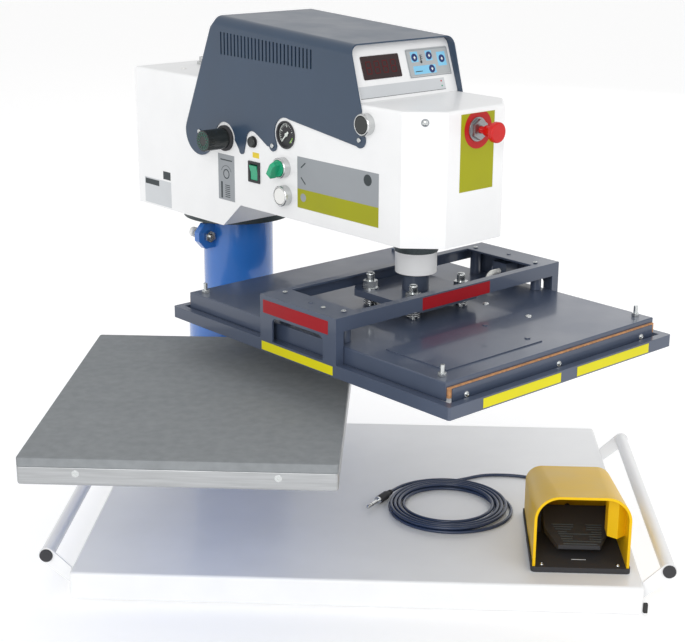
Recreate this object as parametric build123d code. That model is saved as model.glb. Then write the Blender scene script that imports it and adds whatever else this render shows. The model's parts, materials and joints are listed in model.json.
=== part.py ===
from build123d import *
import math
import os

# A swing-arm pneumatic heat press on a flat base, with its foot pedal and cord.
# Frame: origin on the swing axis in the plane that the rubber feet stand on,
# +X to the right of the lower table, -Y towards the operator, +Z up, millimetres.
# The arm is drawn swung out from over the table, with the heater raised.

# Lower table and where the arm reaches
pad_width = 400.0
pad_depth = 500.0
pad_thickness = 12.0
table_thickness = 24.5
table_corner_radius = 9.0
pad_top = 287.5
reach = 416.5
swing_out = 44.5

# Base tray
base_width = 800.0
base_depth = 600.0
base_height = 40.3
base_sheet = 2.5
base_edge_radius = 6.0
base_centre_x = 214.0
base_centre_y = -197.0
foot_radius = 16.0
foot_stand = 3.0
foot_inset = 45.0
base_rib_width = 30.0
base_rib_count = 3

# Side handles
handle_radius = 10.0
handle_wall = 1.5
handle_offset = 35.0
handle_rise = 16.5
handle_front_inset = 19.0
handle_rear_inset = 93.0
bracket_thickness = 3.0
bracket_lobe_radius = 11.5
bracket_root_width = 26.0
bracket_drop = 1.5
cap_thickness = 3.0

# Column
foot_plate_side = 260.0
foot_plate_thickness = 15.0
foot_plate_rear = 95.0
foot_bolt_inset = 25.0
foot_bolt_radius = 8.0
pedestal_radius = 84.15
pedestal_wall = 8.0
pedestal_below_pad = 10.0
pedestal_ring = 12.0
column_radius = 57.15
column_wall = 8.8
column_above_pad = 157.4
bush_length = 40.0
lower_bush_base = 110.0
thrust_thickness = 3.0
lower_beam_width = 120.0
lower_beam_height = 80.0
lower_beam_wall = 6.0
lower_beam_overrun = 23.5
carrier_width = 280.0
carrier_depth = 360.0
carrier_thickness = 10.0
hose_radius = 3.0
lug_height = 41.0
lug_thickness = 12.0
lug_reach = 88.0
lug_below_top = 22.9
stop_bolt_radius = 5.0
stop_bolt_offset = 70.0
stop_bolt_back = 22.0
stop_bolt_front = 24.0
stop_buffer_radius = 8.0
stop_buffer_length = 8.0
stop_pin_radius = 6.0
stop_pin_circle = 74.0
stop_pin_below_lug = 12.0
rear_stop_half = 5.0
swing_in = 44.5
swing_further = 75.5

# Clearances
running_clearance = 0.05
swivel_gap = 0.2
seat_gap = 0.3
button_clearance = 0.3
limit_gap = 0.5

# Swing arm
spindle_radius = 30.0
swing_flange_radius = 88.0
swing_flange_thickness = 10.1
housing_half_width = 98.0
housing_rear = -138.7
nose_length = 110.2
arm_height = 184.5
belly_depth = 38.8
slope_start = 91.0
slope_end = 135.0
nose_half_width = 55.0
nose_chamfer_length = 42.8
housing_sheet = 2.0
housing_edge_radius = 4.0
hub_radius = 68.0
hub_height = 103.0
beam_side_gap = 32.0
beam_side_thickness = 10.0
beam_side_lift = 8.0
beam_rear = -90.0
beam_nose_gap = 31.7
beam_floor_thickness = 12.0
nose_flange_side = 112.0
nose_flange_thickness = 6.0

# Air cylinder
cylinder_side_gap = 2.0
barrel_inset = 4.0
barrel_wall = 10.0
cylinder_head_thickness = 16.0
barrel_length = 118.0
tie_rod_radius = 5.0
tie_rod_inset = 10.0
piston_thickness = 22.0
piston_top_gap = 2.0
rod_radius = 19.5
guide_radius = 30.0
guide_bore = 24.0
guide_drop = 62.5
rod_bush_length = 30.0
stroke = 55.7
return_wire_radius = 2.0
return_spring_radius = 34.0
return_spring_turns = 6

# Heater, measured from the ram axis: fore is along the arm, half widths across it
platen_fore = 250.0
platen_half = 200.0
platen_thickness = 20.0
cover_fore = 265.0
cover_half = 208.0
cover_rise = 41.0
cover_sheet = 1.5
cover_skirt = 24.5
cover_end_skirt = 7.0
board_fore = 268.5
board_half = 206.0
board_thickness = 11.2
board_end_width = 18.0
element_radius = 4.0
element_runs = 6
element_pitch = 62.0
end_plate_half = 201.0
end_plate_height = 22.6
end_plate_thickness = 1.5
cross_plate_fore = 70.0
cross_plate_half = 68.0
cross_plate_thickness = 10.0
cross_plate_chamfer = 14.0
bolt_fore = 44.0
bolt_half = 48.0
spring_bolt_radius = 6.0
spring_bolt_rise = 24.0
corner_stud_fore = 245.0
corner_stud_half = 194.0
corner_stud_radius = 3.0
corner_stud_rise = 15.5
terminal_fore = -4.0
terminal_half = 199.0
terminal_length = 32.0
terminal_width = 28.0
terminal_height = 30.0
lead_radius = 4.0

# Safety frame round the heater
ring_fore = 286.7
ring_half = 223.2
ring_inner_fore = 275.0
ring_inner_half = 211.0
ring_height = 17.3
frame_lift = 8.0
portal_fore = 79.0
portal_height = 81.3
portal_sheet = 3.0
portal_rail_height = 20.0
portal_rail_width = 13.0
portal_end_width = 46.0
portal_window_half = 53.0
portal_window_below_top = 29.0
portal_window_corner = 9.0
portal_return = 14.0
guide_pin_fore = 62.0
guide_pin_half = 192.0
guide_pin_radius = 4.0
guide_sleeve_radius = 8.0

# Hood over the arm
hood_sheet = 2.0
hood_edge_radius = 14.0
hood_rear_radius = 5.0
hood_bevel_radius = 8.0
panel_setback = 12.5
panel_thickness = 3.0
vent_count = 26
vent_first = 96.4
vent_last = 302.3
vent_width = 3.0
vent_top = 466.7
vent_top_fall = 8.2
vent_bottom = 433.5
vent_bottom_fall = 2.1

# Controls on the near side of the arm: along the arm, above the side's own level
side_level_drop = 394.0
regulator_spot = (101.5, 308.6)
breaker_spot = (168.8, 311.6)
gauge_spot = (244.9, 331.9)
rocker_spot = (170.5, 266.3)
selector_spot = (239.8, 283.8)
test_spot = (242.8, 243.1)
start_spot = (417.2, 369.1)
estop_rise = 366.0
needle_rest = 45.0
regulator_hood_gap = 5.0
breaker_hood_gap = 7.2
gauge_hood_gap = 4.8
start_hood_gap = 2.9
collar_radius = 19.5
collar_length = 5.0
knob_radius = 15.8
knob_length = 38.0
gauge_radius = 20.2
gauge_proud = 2.5
gauge_depth = 28.0
bezel_radius = 15.1
bezel_length = 12.0
bezel_face_radius = 14.0
button_radius = 12.0
button_travel = 3.0
rocker_width = 27.0
rocker_height = 31.5
rocker_tilt = 9.0
breaker_radius = 8.8
estop_nut_radius = 14.5
estop_nut_length = 8.0
estop_stem_radius = 5.0
estop_knob_radius = 14.0
estop_knob_thickness = 8.0
estop_reach = 40.0
estop_travel = 6.0

# Foot pedal on the base
pedal_x = 530.0
pedal_front = -456.0
pedal_width = 135.0
pedal_rear_width = 129.0
pedal_length = 194.0
pedal_height = 114.5
pedal_rear_height = 79.0
pedal_wall = 4.0
pedal_shoulder_radius = 36.0
pedal_rear_radius = 24.0
pedal_plate_thickness = 8.0
pedal_plate_rim = 2.0
pedal_lip_width = 2.0
pedal_lip_height = 13.0
pedal_lip_start = 4.0
pedal_lip_length = 86.0
pedal_post_width = 26.0
pedal_post_depth = 35.0
pedal_post_base = 45.0
treadle_width = 92.0
treadle_toe_width = 58.0
treadle_toe_length = 40.0
treadle_front = -428.0
treadle_rear = -332.0
treadle_thickness = 8.0
treadle_front_height = 28.0
treadle_rear_height = 47.0
treadle_pivot_y = -336.0
treadle_pivot_height = 38.0
treadle_pin_radius = 3.0

# Cord of the pedal: points on the base, chosen by hand
cord_radius = 2.5
coil_x = 348.0
coil_y = -253.0
coil_outer = 88.5
coil_loose = 98.5
coil_pitch = 6.2
coil_first_drop = 5.5
coil_drops = (2.0, 4.0, 2.0, 4.0)
coil_climb_drop = 6.0
coil_climb_rise = 1.5
coil_top_half_turns = 7
coil_layer_step = 5.9
coil_exit_angle = 150.0
coil_exit_radius = 98.0
plug_sleeve_radius = 6.3
plug_sleeve_length = 42.0
plug_pin_radius = 3.2
plug_pin_length = 30.0

# Heights that follow
base_top = foot_stand + base_height
handle_height = base_top + handle_rise
handle_front = base_centre_y - base_depth / 2 + handle_front_inset
handle_rear = base_centre_y + base_depth / 2 - handle_rear_inset
pedestal_top = pad_top - pedestal_below_pad
column_top = pad_top + column_above_pad
lug_centre_height = column_top - lug_below_top
stop_pin_base = lug_centre_height - stop_pin_below_lug
lower_beam_end = -reach - lower_beam_overrun
box_bottom = column_top + thrust_thickness + swivel_gap + swing_flange_thickness
arm_bottom = box_bottom + belly_depth
housing_top = arm_bottom + arm_height
housing_front = reach + nose_length
nose_chamfer_start = housing_front - nose_chamfer_length
beam_side_inner = housing_half_width - beam_side_gap
cylinder_head_side = 2.0 * (beam_side_inner - cylinder_side_gap)
barrel_radius = cylinder_head_side / 2 - barrel_inset
bore_radius = barrel_radius - barrel_wall
tie_rod_spacing = cylinder_head_side - 2.0 * tie_rod_inset
hub_top = arm_bottom + hub_height
beam_side_base = arm_bottom + beam_side_lift
beam_front = housing_front - beam_nose_gap
guide_bottom = arm_bottom - guide_drop
side_level = housing_top - side_level_drop
regulator_at = (regulator_spot[0], side_level + regulator_spot[1])
breaker_at = (breaker_spot[0], side_level + breaker_spot[1])
gauge_at = (gauge_spot[0], side_level + gauge_spot[1])
rocker_at = (rocker_spot[0], side_level + rocker_spot[1])
selector_at = (selector_spot[0], side_level + selector_spot[1])
test_at = (test_spot[0], side_level + test_spot[1])
start_at = (start_spot[0], side_level + start_spot[1])
estop_height = side_level + estop_rise
plate_top = pad_top - pad_thickness
plate_base = plate_top - table_thickness
carrier_base = plate_base - carrier_thickness
beam_floor = arm_bottom + housing_sheet + 0.5
cylinder_base = beam_floor + beam_floor_thickness
barrel_base = cylinder_base + cylinder_head_thickness
barrel_top = barrel_base + barrel_length
piston_top = barrel_top - piston_top_gap
piston_base = piston_top - piston_thickness
platen_base = pad_top + stroke + seat_gap
platen_top = platen_base + platen_thickness
ring_base = platen_base + 0.7
ring_top = ring_base + ring_height
portal_top = ring_base + portal_height
portal_window_top = portal_top - portal_window_below_top
cover_top = platen_base + cover_rise
corner_stud_top = cover_top + corner_stud_rise
element_top = platen_top + 2.0 * element_radius
board_top = cover_top - cover_sheet
board_base = board_top - board_thickness
cross_plate_base = cover_top + 14.0
cross_plate_top = cross_plate_base + cross_plate_thickness
spring_bolt_top = cross_plate_top + spring_bolt_rise
pedal_base_top = base_top + pedal_plate_thickness
cord_height = base_top + cord_radius


# Small makers
def block(x0, x1, y0, y1, z0, z1):
    centre = Pos((x0 + x1) / 2, (y0 + y1) / 2, (z0 + z1) / 2)
    return centre * Box(abs(x1 - x0), abs(y1 - y0), abs(z1 - z0))


def upright(x, y, z0, z1, radius):
    return Pos(x, y, (z0 + z1) / 2) * Cylinder(radius, z1 - z0)


def tube(x, y, z0, z1, outer, inner):
    return upright(x, y, z0, z1, outer) - upright(x, y, z0 - 1, z1 + 1, inner)


def across(x, z, y0, y1, radius):
    return Pos(x, (y0 + y1) / 2, z) * (Rot(90, 0, 0) * Cylinder(radius, abs(y1 - y0)))


def along(y, z, x0, x1, radius):
    return Pos((x0 + x1) / 2, y, z) * (Rot(0, 90, 0) * Cylinder(radius, abs(x1 - x0)))


def hexagon(x, y, z0, z1, across_flats):
    outline = RegularPolygon(across_flats / math.sqrt(3), 6)
    return extrude(Pos(x, y, z0) * outline, amount=z1 - z0)


def side_outline(points, y0, y1):
    """A solid whose outline is given in X and Z, from y0 to y1."""
    wire = Polyline(*[(x, 0, z) for x, z in points], close=True)
    face = make_face(wire)
    return Pos(0, y0, 0) * extrude(face, amount=y1 - y0, dir=(0, 1, 0))


def plan_outline(points, z0, z1):
    face = make_face(Polyline(*[(x, y, 0) for x, y in points], close=True))
    return Pos(0, 0, z0) * extrude(face, amount=z1 - z0, dir=(0, 0, 1))


def on_arm(shape):
    """Turn what is drawn with X along the arm to the arm's swung-out place."""
    return Rot(0, 0, swing_out - 90) * shape


def on_ram(shape):
    return on_arm(Pos(reach, 0, 0) * shape)


def coil_spring(x, y, z0, z1, mean_radius, wire_radius, turns):
    """A round wire wound at a steady pitch between two heights."""
    low = z0 + wire_radius
    high = z1 - wire_radius
    path = Helix((high - low) / turns, high - low, mean_radius)
    start = path @ 0
    section = Plane(origin=start, z_dir=path % 0) * Circle(wire_radius)
    return Pos(x, y, low) * sweep(section, path, is_frenet=True)


def save(name, *solids):
    shapes = []
    for item in solids:
        shapes.extend(item.solids())
    node = shapes[0] if len(shapes) == 1 else Compound(children=shapes)
    export_step(node, "parts/" + name + ".step")


# Base, feet and handles
def make_base():
    left = base_centre_x - base_width / 2
    right = base_centre_x + base_width / 2
    front = base_centre_y - base_depth / 2
    rear = base_centre_y + base_depth / 2
    outer = block(left, right, front, rear, foot_stand, base_top)
    outer = fillet(outer.edges().filter_by(Axis.Z), base_edge_radius)
    outer = fillet(outer.faces().sort_by(Axis.Z)[-1].edges(), base_edge_radius - 1)
    wall = base_sheet
    inner = block(left + wall, right - wall, front + wall, rear - wall, foot_stand + wall, base_top - wall)
    tray = outer - inner
    step = (base_width - 2 * foot_inset) / (base_rib_count - 1)
    for index in range(base_rib_count):
        x = left + foot_inset + index * step
        rib = block(x - base_rib_width / 2, x + base_rib_width / 2, front + wall, rear - wall,
                    foot_stand + wall, base_top - wall)
        hollow = block(x - base_rib_width / 2 + wall, x + base_rib_width / 2 - wall, front + wall, rear - wall,
                       foot_stand + wall, base_top - wall)
        tray += rib - hollow
    for x, y in foot_bolt_places():
        tray -= upright(x, y, base_top - 2 * wall, base_top + 1, foot_bolt_radius + seat_gap)
    save("base_tray", tray)
    feet = []
    corners = [(x, y) for x in (left + foot_inset, right - foot_inset) for y in (front + foot_inset, rear - foot_inset)]
    for x, y in corners + [(0, 0)]:
        foot = upright(x, y, 0, foot_stand, foot_radius)
        feet.append(chamfer(foot.faces().sort_by(Axis.Z)[0].edges(), 1.0))
    save("rubber_feet", *feet)
    plug_y = front + 26
    plug = block(right, right + 3, plug_y - 3, plug_y + 3, 12, 33)
    return left, right, fillet(plug.edges().filter_by(Axis.X), 2)


def bracket_outline(side_x, direction):
    """Corners of a handle bracket, tangent to the round lobe at the tube."""
    centre = (side_x + direction * handle_offset, handle_height)
    top = (side_x, base_top - bracket_drop)
    low = (side_x, base_top - bracket_drop - bracket_root_width)
    points = [low, top]
    for corner, turn in ((top, -direction), (low, direction)):
        dx = corner[0] - centre[0]
        dz = corner[1] - centre[1]
        spread = math.acos(bracket_lobe_radius / math.hypot(dx, dz))
        touch = math.atan2(dz, dx) + turn * spread
        points.append((centre[0] + bracket_lobe_radius * math.cos(touch),
                       centre[1] + bracket_lobe_radius * math.sin(touch)))
    return points, centre


def make_handles(left, right, side_plug):
    handles = []
    caps = [side_plug]
    for side_x, direction in ((left, -1), (right, 1)):
        points, centre = bracket_outline(side_x, direction)
        first = handle_front + bracket_thickness
        last = handle_rear - bracket_thickness
        bar = across(centre[0], centre[1], first - 1, last + 1, handle_radius)
        handle = bar
        for y0 in (handle_front, last):
            plate = side_outline(points, y0, y0 + bracket_thickness)
            plate += across(centre[0], centre[1], y0, y0 + bracket_thickness, bracket_lobe_radius)
            handle += plate
        handle -= across(centre[0], centre[1], handle_front - 1, handle_rear + 1, handle_radius - handle_wall)
        handles.append(handle)
        for y0, outward in ((handle_front, -1), (handle_rear, 1)):
            cap = across(centre[0], centre[1], y0, y0 + outward * cap_thickness, handle_radius - 0.8)
            stem = across(centre[0], centre[1], y0, y0 - outward * 8, handle_radius - handle_wall)
            caps.append(cap + stem)
    save("side_handles", *handles)
    save("handle_caps", *caps)


# Column, bearings and lower table
def foot_bolt_places():
    half = foot_plate_side / 2 - foot_bolt_inset
    return [(x, y) for x in (-half, half) for y in (-half, foot_plate_rear - foot_bolt_inset)]


def make_column():
    floor = base_top + foot_plate_thickness
    half = foot_plate_side / 2
    plate = block(-half, half, -half, foot_plate_rear, base_top, floor)
    plate = fillet(plate.edges().filter_by(Axis.Z), 12)
    for x, y in foot_bolt_places():
        plate -= upright(x, y, base_top - 1, floor + 1, foot_bolt_radius + seat_gap)
    pedestal = tube(0, 0, floor, pedestal_top, pedestal_radius, pedestal_radius - pedestal_wall)
    ring = tube(0, 0, pedestal_top - pedestal_ring, pedestal_top, pedestal_radius, column_radius)
    foot = plate + pedestal + ring
    beam_top = carrier_base
    beam_base = beam_top - lower_beam_height
    half_beam = lower_beam_width / 2
    beam = block(-half_beam, half_beam, lower_beam_end, 0, beam_base, beam_top)
    wall = lower_beam_wall
    hollow = block(-half_beam + wall, half_beam - wall, lower_beam_end + wall, 0, beam_base + wall, beam_top - wall)
    beam -= hollow
    beam -= upright(0, 0, beam_base - 1, beam_top + 1, pedestal_radius - 2)
    carrier = block(-carrier_width / 2, carrier_width / 2, -reach - carrier_depth / 2,
                    -reach + carrier_depth / 2, carrier_base, plate_base)
    save("column_foot", foot + beam + carrier)
    column = tube(0, 0, floor, column_top, column_radius, column_radius - column_wall)
    save("column_tube", column + stop_lug())
    make_column_bolts(floor)
    bore = column_radius - column_wall
    inner = spindle_radius + running_clearance
    upper = tube(0, 0, column_top - bush_length, column_top, bore, inner)
    lower = tube(0, 0, lower_bush_base, lower_bush_base + bush_length, bore, inner)
    washer = tube(0, 0, column_top, column_top + thrust_thickness, column_radius - 2, inner)
    save("column_bushes", upper, lower, washer)


def stop_lug():
    """The blue ear on the column's near side, drawn in the arm's directions."""
    low = lug_centre_height - lug_height / 2
    high = lug_centre_height + lug_height / 2
    points = [(-column_radius + 6, low), (-lug_reach + 12, low), (-lug_reach, lug_centre_height - 7),
              (-lug_reach, lug_centre_height + 7), (-lug_reach + 12, high), (-column_radius + 6, high)]
    wire = Polyline(*[(0, y, z) for y, z in points], close=True)
    ear = extrude(make_face(wire), amount=lug_thickness, dir=(1, 0, 0))
    hole = along(-stop_bolt_offset, lug_centre_height, -1, lug_thickness + 1, stop_bolt_radius)
    rear = block(column_radius - 6, lug_reach - 4, -rear_stop_half, rear_stop_half, low, high)
    gap = rear_stop_half + stop_pin_radius + limit_gap
    turn = stop_pin_angle() - swing_in - math.degrees(math.asin(gap / stop_pin_circle))
    return on_arm(ear - hole) + on_arm(Rot(0, 0, turn) * rear)


def stop_pin_angle():
    """Where the swing flange's pin stands at rest, so that it meets the buffer last of all."""
    away = stop_bolt_back + stop_buffer_length + stop_pin_radius + limit_gap
    meeting = 180.0 + math.degrees(math.acos(away / stop_pin_circle))
    return meeting - swing_further


def make_column_bolts(floor):
    bolts = []
    for x, y in foot_bolt_places():
        shank = upright(x, y, base_top - base_sheet - 10, floor + 24, foot_bolt_radius)
        washer = upright(x, y, floor, floor + 3, 15)
        nut = hexagon(x, y, floor + 3, floor + 16, 24)
        under = hexagon(x, y, base_top - base_sheet - 10, base_top - base_sheet, 24)
        bolts.append(shank + washer + nut + under)
    y = -stop_bolt_offset
    z = lug_centre_height
    bolt = along(y, z, -stop_bolt_back, stop_bolt_front, stop_bolt_radius)
    nut = Pos(lug_thickness, y, z) * (Rot(0, 90, 0) * extrude(RegularPolygon(9.8, 6), amount=8))
    back = Pos(-7, y, z) * (Rot(0, 90, 0) * extrude(RegularPolygon(9.8, 6), amount=7))
    buffer = along(y, z, -stop_bolt_back - stop_buffer_length, -stop_bolt_back, stop_buffer_radius)
    buffer = fillet(buffer.faces().sort_by(Axis.X)[0].edges(), 1.5)
    bolts.extend([on_arm(bolt + nut + back), on_arm(buffer)])
    save("column_fasteners", *bolts)


def make_table():
    x = pad_width / 2
    front = -reach - pad_depth / 2
    rear = -reach + pad_depth / 2
    plate = block(-x, x, front, rear, plate_base, plate_top)
    plate = fillet(plate.edges().filter_by(Axis.Z), 4)
    plate = fillet(plate.faces().sort_by(Axis.Z)[0].edges(), table_corner_radius - 5)
    save("lower_table", plate)
    pad = block(-x, x, front, rear, plate_top, pad_top)
    pad = fillet(pad.edges().filter_by(Axis.Z), 4)
    save("lower_pad", fillet(pad.faces().sort_by(Axis.Z)[-1].edges(), 1.5))


# Arm
def housing_block(inset):
    """The housing's outer form, or the space inside its sheet."""
    low = box_bottom + inset
    slope = inset * 0.414
    points = [(housing_rear + inset, low), (housing_rear + inset, housing_top - inset),
              (housing_front - inset, housing_top - inset), (housing_front - inset, arm_bottom + inset),
              (slope_end - slope, arm_bottom + inset), (slope_start - slope, low)]
    width = housing_half_width - inset
    body = side_outline(points, -width, width)
    nose = nose_half_width - inset * 0.6
    plan = [(housing_rear - 10, -width), (nose_chamfer_start, -width), (housing_front - inset, -nose),
            (housing_front - inset, nose), (nose_chamfer_start, width), (housing_rear - 10, width)]
    return body & plan_outline(plan, box_bottom - 1, housing_top + 1)


def make_housing():
    outer = housing_block(0.0)
    edges = outer.faces().sort_by(Axis.Z)[-1].edges()
    outer = fillet(edges, housing_edge_radius)
    shell = outer - housing_block(housing_sheet)
    shell -= upright(0, 0, box_bottom - 1, box_bottom + housing_sheet + 1, hub_radius + 1)
    shell -= upright(reach, 0, arm_bottom - 1, arm_bottom + housing_sheet + 1, guide_radius + seat_gap)
    near = -housing_half_width
    for (s, z), radius in ((regulator_at, 12), (breaker_at, 6), (gauge_at, gauge_radius - 2),
                           (selector_at, 11), (test_at, 11), (start_at, 11)):
        shell -= across(s, z, near - 1, near + housing_sheet + 1, radius)
    s, z = start_at
    shell -= across(s, z, -near - housing_sheet - 1, -near + 1, 11)
    s, z = rocker_at
    shell -= block(s - 11, s + 11, near - 1, near + housing_sheet + 1, z - 13.5, z + 13.5)
    shell -= along(0, estop_height, housing_front - housing_sheet - 1, housing_front + 1, 11)
    shell -= upright(-87, 0, housing_top - housing_sheet - 1, housing_top + 1, 6)
    save("arm_housing", on_arm(shell))


def make_arm_frame():
    spindle = upright(0, 0, lower_bush_base - 5, hub_top, spindle_radius)
    flange_base = column_top + thrust_thickness + swivel_gap
    flange = upright(0, 0, flange_base, box_bottom, swing_flange_radius)
    pin = upright(stop_pin_circle, 0, stop_pin_base, flange_base + 1, stop_pin_radius)
    save("swing_spindle", on_arm(spindle + flange + Rot(0, 0, stop_pin_angle()) * pin))
    hub = tube(0, 0, box_bottom, hub_top, hub_radius, spindle_radius)
    beam = hub
    inner = beam_side_inner
    outer = inner + beam_side_thickness
    top = hub_top
    for side in (-1, 1):
        beam += block(beam_rear, beam_front, side * inner, side * outer, beam_side_base, top)
    beam += block(beam_rear, beam_rear + 10, -outer, outer, beam_side_base, top)
    beam += block(beam_front - 10, beam_front, -outer, outer, beam_floor, top)
    floor_start = reach - cylinder_head_side / 2 - 12
    beam += block(floor_start, beam_front, -outer, outer, beam_floor, cylinder_base)
    beam -= upright(reach, 0, beam_floor - 1, cylinder_base + 1, guide_radius)
    half = nose_flange_side / 2
    nose_flange = block(reach - half, reach + half, -half, half, arm_bottom - nose_flange_thickness, arm_bottom)
    nose_flange = chamfer(nose_flange.edges().filter_by(Axis.Z), 16)
    nose_flange -= upright(reach, 0, arm_bottom - 20, arm_bottom + 1, guide_radius)
    save("arm_beam", on_arm(beam), on_arm(nose_flange))
    board = block(170, 300, -60, 60, housing_top + 6, housing_top + 8)
    for s, t in ((176, -54), (176, 54), (294, -54), (294, 54)):
        board += upright(s, t, housing_top, housing_top + 6, 3)
    board += block(190, 240, -40, 10, housing_top + 8, housing_top + 40)
    board += block(255, 285, -45, 45, housing_top + 8, housing_top + 22)
    save("controller_board", on_arm(board))
    roof = housing_top - housing_sheet
    side = housing_half_width - housing_sheet
    valve = block(-60, 40, side - 18, side, roof - 69.5, roof - 29.5)
    valve += block(-40, 20, side - 18, side - 2, roof - 29.5, roof - 7.5)
    save("air_valve", on_arm(valve))
    stem = upright(-87, 0, housing_top - 14, housing_top + 12, 5.8)
    hexed = hexagon(-87, 0, housing_top, housing_top + 5, 16)
    lock = hexagon(-87, 0, housing_top - housing_sheet - 6, housing_top - housing_sheet, 18)
    fitting = stem + hexed + lock - upright(-87, 0, housing_top - 8, housing_top + 13, hose_radius + running_clearance)
    save("air_fitting", on_arm(fitting))


def make_cylinder():
    base = cylinder_base
    half = cylinder_head_side / 2
    rods = [(reach + a, b) for a in (-tie_rod_spacing / 2, tie_rod_spacing / 2)
            for b in (-tie_rod_spacing / 2, tie_rod_spacing / 2)]
    lower = block(reach - half, reach + half, -half, half, base, barrel_base)
    lower -= upright(reach, 0, base - 1, barrel_base + 1, rod_radius + running_clearance)
    upper = block(reach - half, reach + half, -half, half, barrel_top, barrel_top + cylinder_head_thickness)
    for s, t in rods:
        lower -= upright(s, t, base - 1, barrel_base + 1, tie_rod_radius)
        upper -= upright(s, t, barrel_top - 1, barrel_top + 30, tie_rod_radius)
    barrel = tube(reach, 0, barrel_base, barrel_top, barrel_radius, bore_radius)
    ties = []
    roof = barrel_top + cylinder_head_thickness
    for s, t in rods:
        ties.append(upright(s, t, base, roof + 7, tie_rod_radius) + hexagon(s, t, roof, roof + 6, 14))
    save("air_cylinder", *[on_arm(item) for item in [lower, barrel, upper] + ties])
    guide = tube(reach, 0, guide_bottom, cylinder_base, guide_radius, guide_bore)
    bush = tube(reach, 0, guide_bottom, guide_bottom + rod_bush_length, guide_bore, rod_radius + running_clearance)
    save("guide_tube", on_arm(guide), on_arm(bush))
    spring = coil_spring(reach, 0, barrel_base, piston_base, return_spring_radius,
                         return_wire_radius, return_spring_turns)
    save("return_spring", on_arm(spring))


# Hood: points along the arm and above the rest plane
def hood_outline():
    lift = side_level
    raw = [(84, 489.5), (68.8, 476.3), (2.2, 325.6), (1.0, 310), (73, 310), (77, 308.6), (126, 308.6),
           (136.6, 295), (147.4, 295), (152.8, 311.6), (184.8, 311.6), (208.5, 310), (216.3, 304.5),
           (224.8, 312.6), (220.5, 331.9), (244.9, 331.9), (247, 356.3), (400, 336.2), (414.6, 345.7),
           (410.5, 362), (406.1, 387), (382.5, 472)]
    return [(s, z + lift) for s, z in raw]


def hood_side_solid(t0, t1):
    solid = side_outline(hood_outline(), t0, t1)
    lift = side_level
    for s, z, radius in ((37, 310, 36), (142, 295, 5.4), (216.3, 312.6, 8.5), (403.8, 345.7, 11)):
        solid += across(s, z + lift, t0, t1, radius)
    for (s, z), radius in ((regulator_at, collar_radius + regulator_hood_gap), (breaker_at, breaker_radius + breaker_hood_gap),
                           (gauge_at, gauge_radius + gauge_hood_gap), (start_at, bezel_radius + start_hood_gap)):
        solid -= across(s, z, t0 - 1, t1 + 1, radius)
    wedge = [(168.8, 311.6), (179, 324.5), (209.4, 307.0), (200, 295), (168.8, 295)]
    solid -= side_outline([(s, z + lift) for s, z in wedge], t0 - 1, t1 + 1)
    return solid


def roof_prism(first, last, half, radius):
    """Everything under a plane through two points along the arm, its long edges rounded."""
    slope = math.degrees(math.atan2(last[1] - first[1], last[0] - first[0]))
    bar = Pos(0, 0, -500) * Box(4000, 2 * half, 1000)
    bar = fillet(bar.faces().sort_by(Axis.Z)[-1].edges().filter_by(Axis.X), radius)
    return Pos(first[0], 0, first[1]) * (Rot(0, -slope, 0) * bar)


def hood_limits(half, inset):
    """The hood's rear slope, its short bevel and its roof, each moved in by inset."""
    lift = side_level
    corners = [(2.2, 325.6), (68.8, 476.3), (84.0, 489.5), (382.5, 472.0)]
    radii = (hood_rear_radius, hood_bevel_radius, hood_edge_radius)
    limits = []
    for (s0, z0), (s1, z1), radius in zip(corners, corners[1:], radii):
        run = math.hypot(s1 - s0, z1 - z0)
        ds = inset * (z1 - z0) / run
        dz = -inset * (s1 - s0) / run
        first = (s0 + ds, z0 + dz + lift)
        last = (s1 + ds, z1 + dz + lift)
        limits.append(roof_prism(first, last, half, radius - inset))
    return limits


def make_hood():
    half = housing_half_width + hood_sheet
    inner_half = housing_half_width
    lift = side_level
    outer = hood_side_solid(-half, half)
    for limit in hood_limits(half, 0.0):
        outer = outer & limit
    inner = block(-60, 430, -inner_half, inner_half, housing_top - 1, housing_top + 200)
    for limit in hood_limits(inner_half, hood_sheet):
        inner = inner & limit
    hood = outer - inner
    hood -= block(-60, 430, -inner_half, inner_half, box_bottom, housing_top)
    pitch = (vent_last - vent_first) / (vent_count - 1)
    for index in range(vent_count):
        s = vent_first + index * pitch
        share = index / (vent_count - 1)
        top = lift + vent_top - vent_top_fall * share
        low = lift + vent_bottom - vent_bottom_fall * share
        hood -= block(s - vent_width / 2, s + vent_width / 2, -half - 1, half + 1, low, top)
    save("hood", on_arm(hood))
    make_panel()


def panel_place():
    """Plane of the control panel: X across the arm, Y up the slope, Z outwards."""
    low = (396.0, 393.0 + side_level)
    high = (369.0, 471.0 + side_level)
    rise = math.hypot(high[0] - low[0], high[1] - low[1])
    up = ((high[0] - low[0]) / rise, (high[1] - low[1]) / rise)
    normal = Vector(up[1], 0, -up[0])
    return Plane(origin=(low[0], 0, low[1]), x_dir=(0, 1, 0), z_dir=normal)


def panel_piece(t0, t1, v0, v1, w0, w1, radius=0.0):
    piece = Pos((t0 + t1) / 2, (v0 + v1) / 2, (w0 + w1) / 2) * Box(t1 - t0, v1 - v0, w1 - w0)
    if radius:
        piece = fillet(piece.edges().filter_by(Axis.Z), radius)
    return panel_place() * piece


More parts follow.
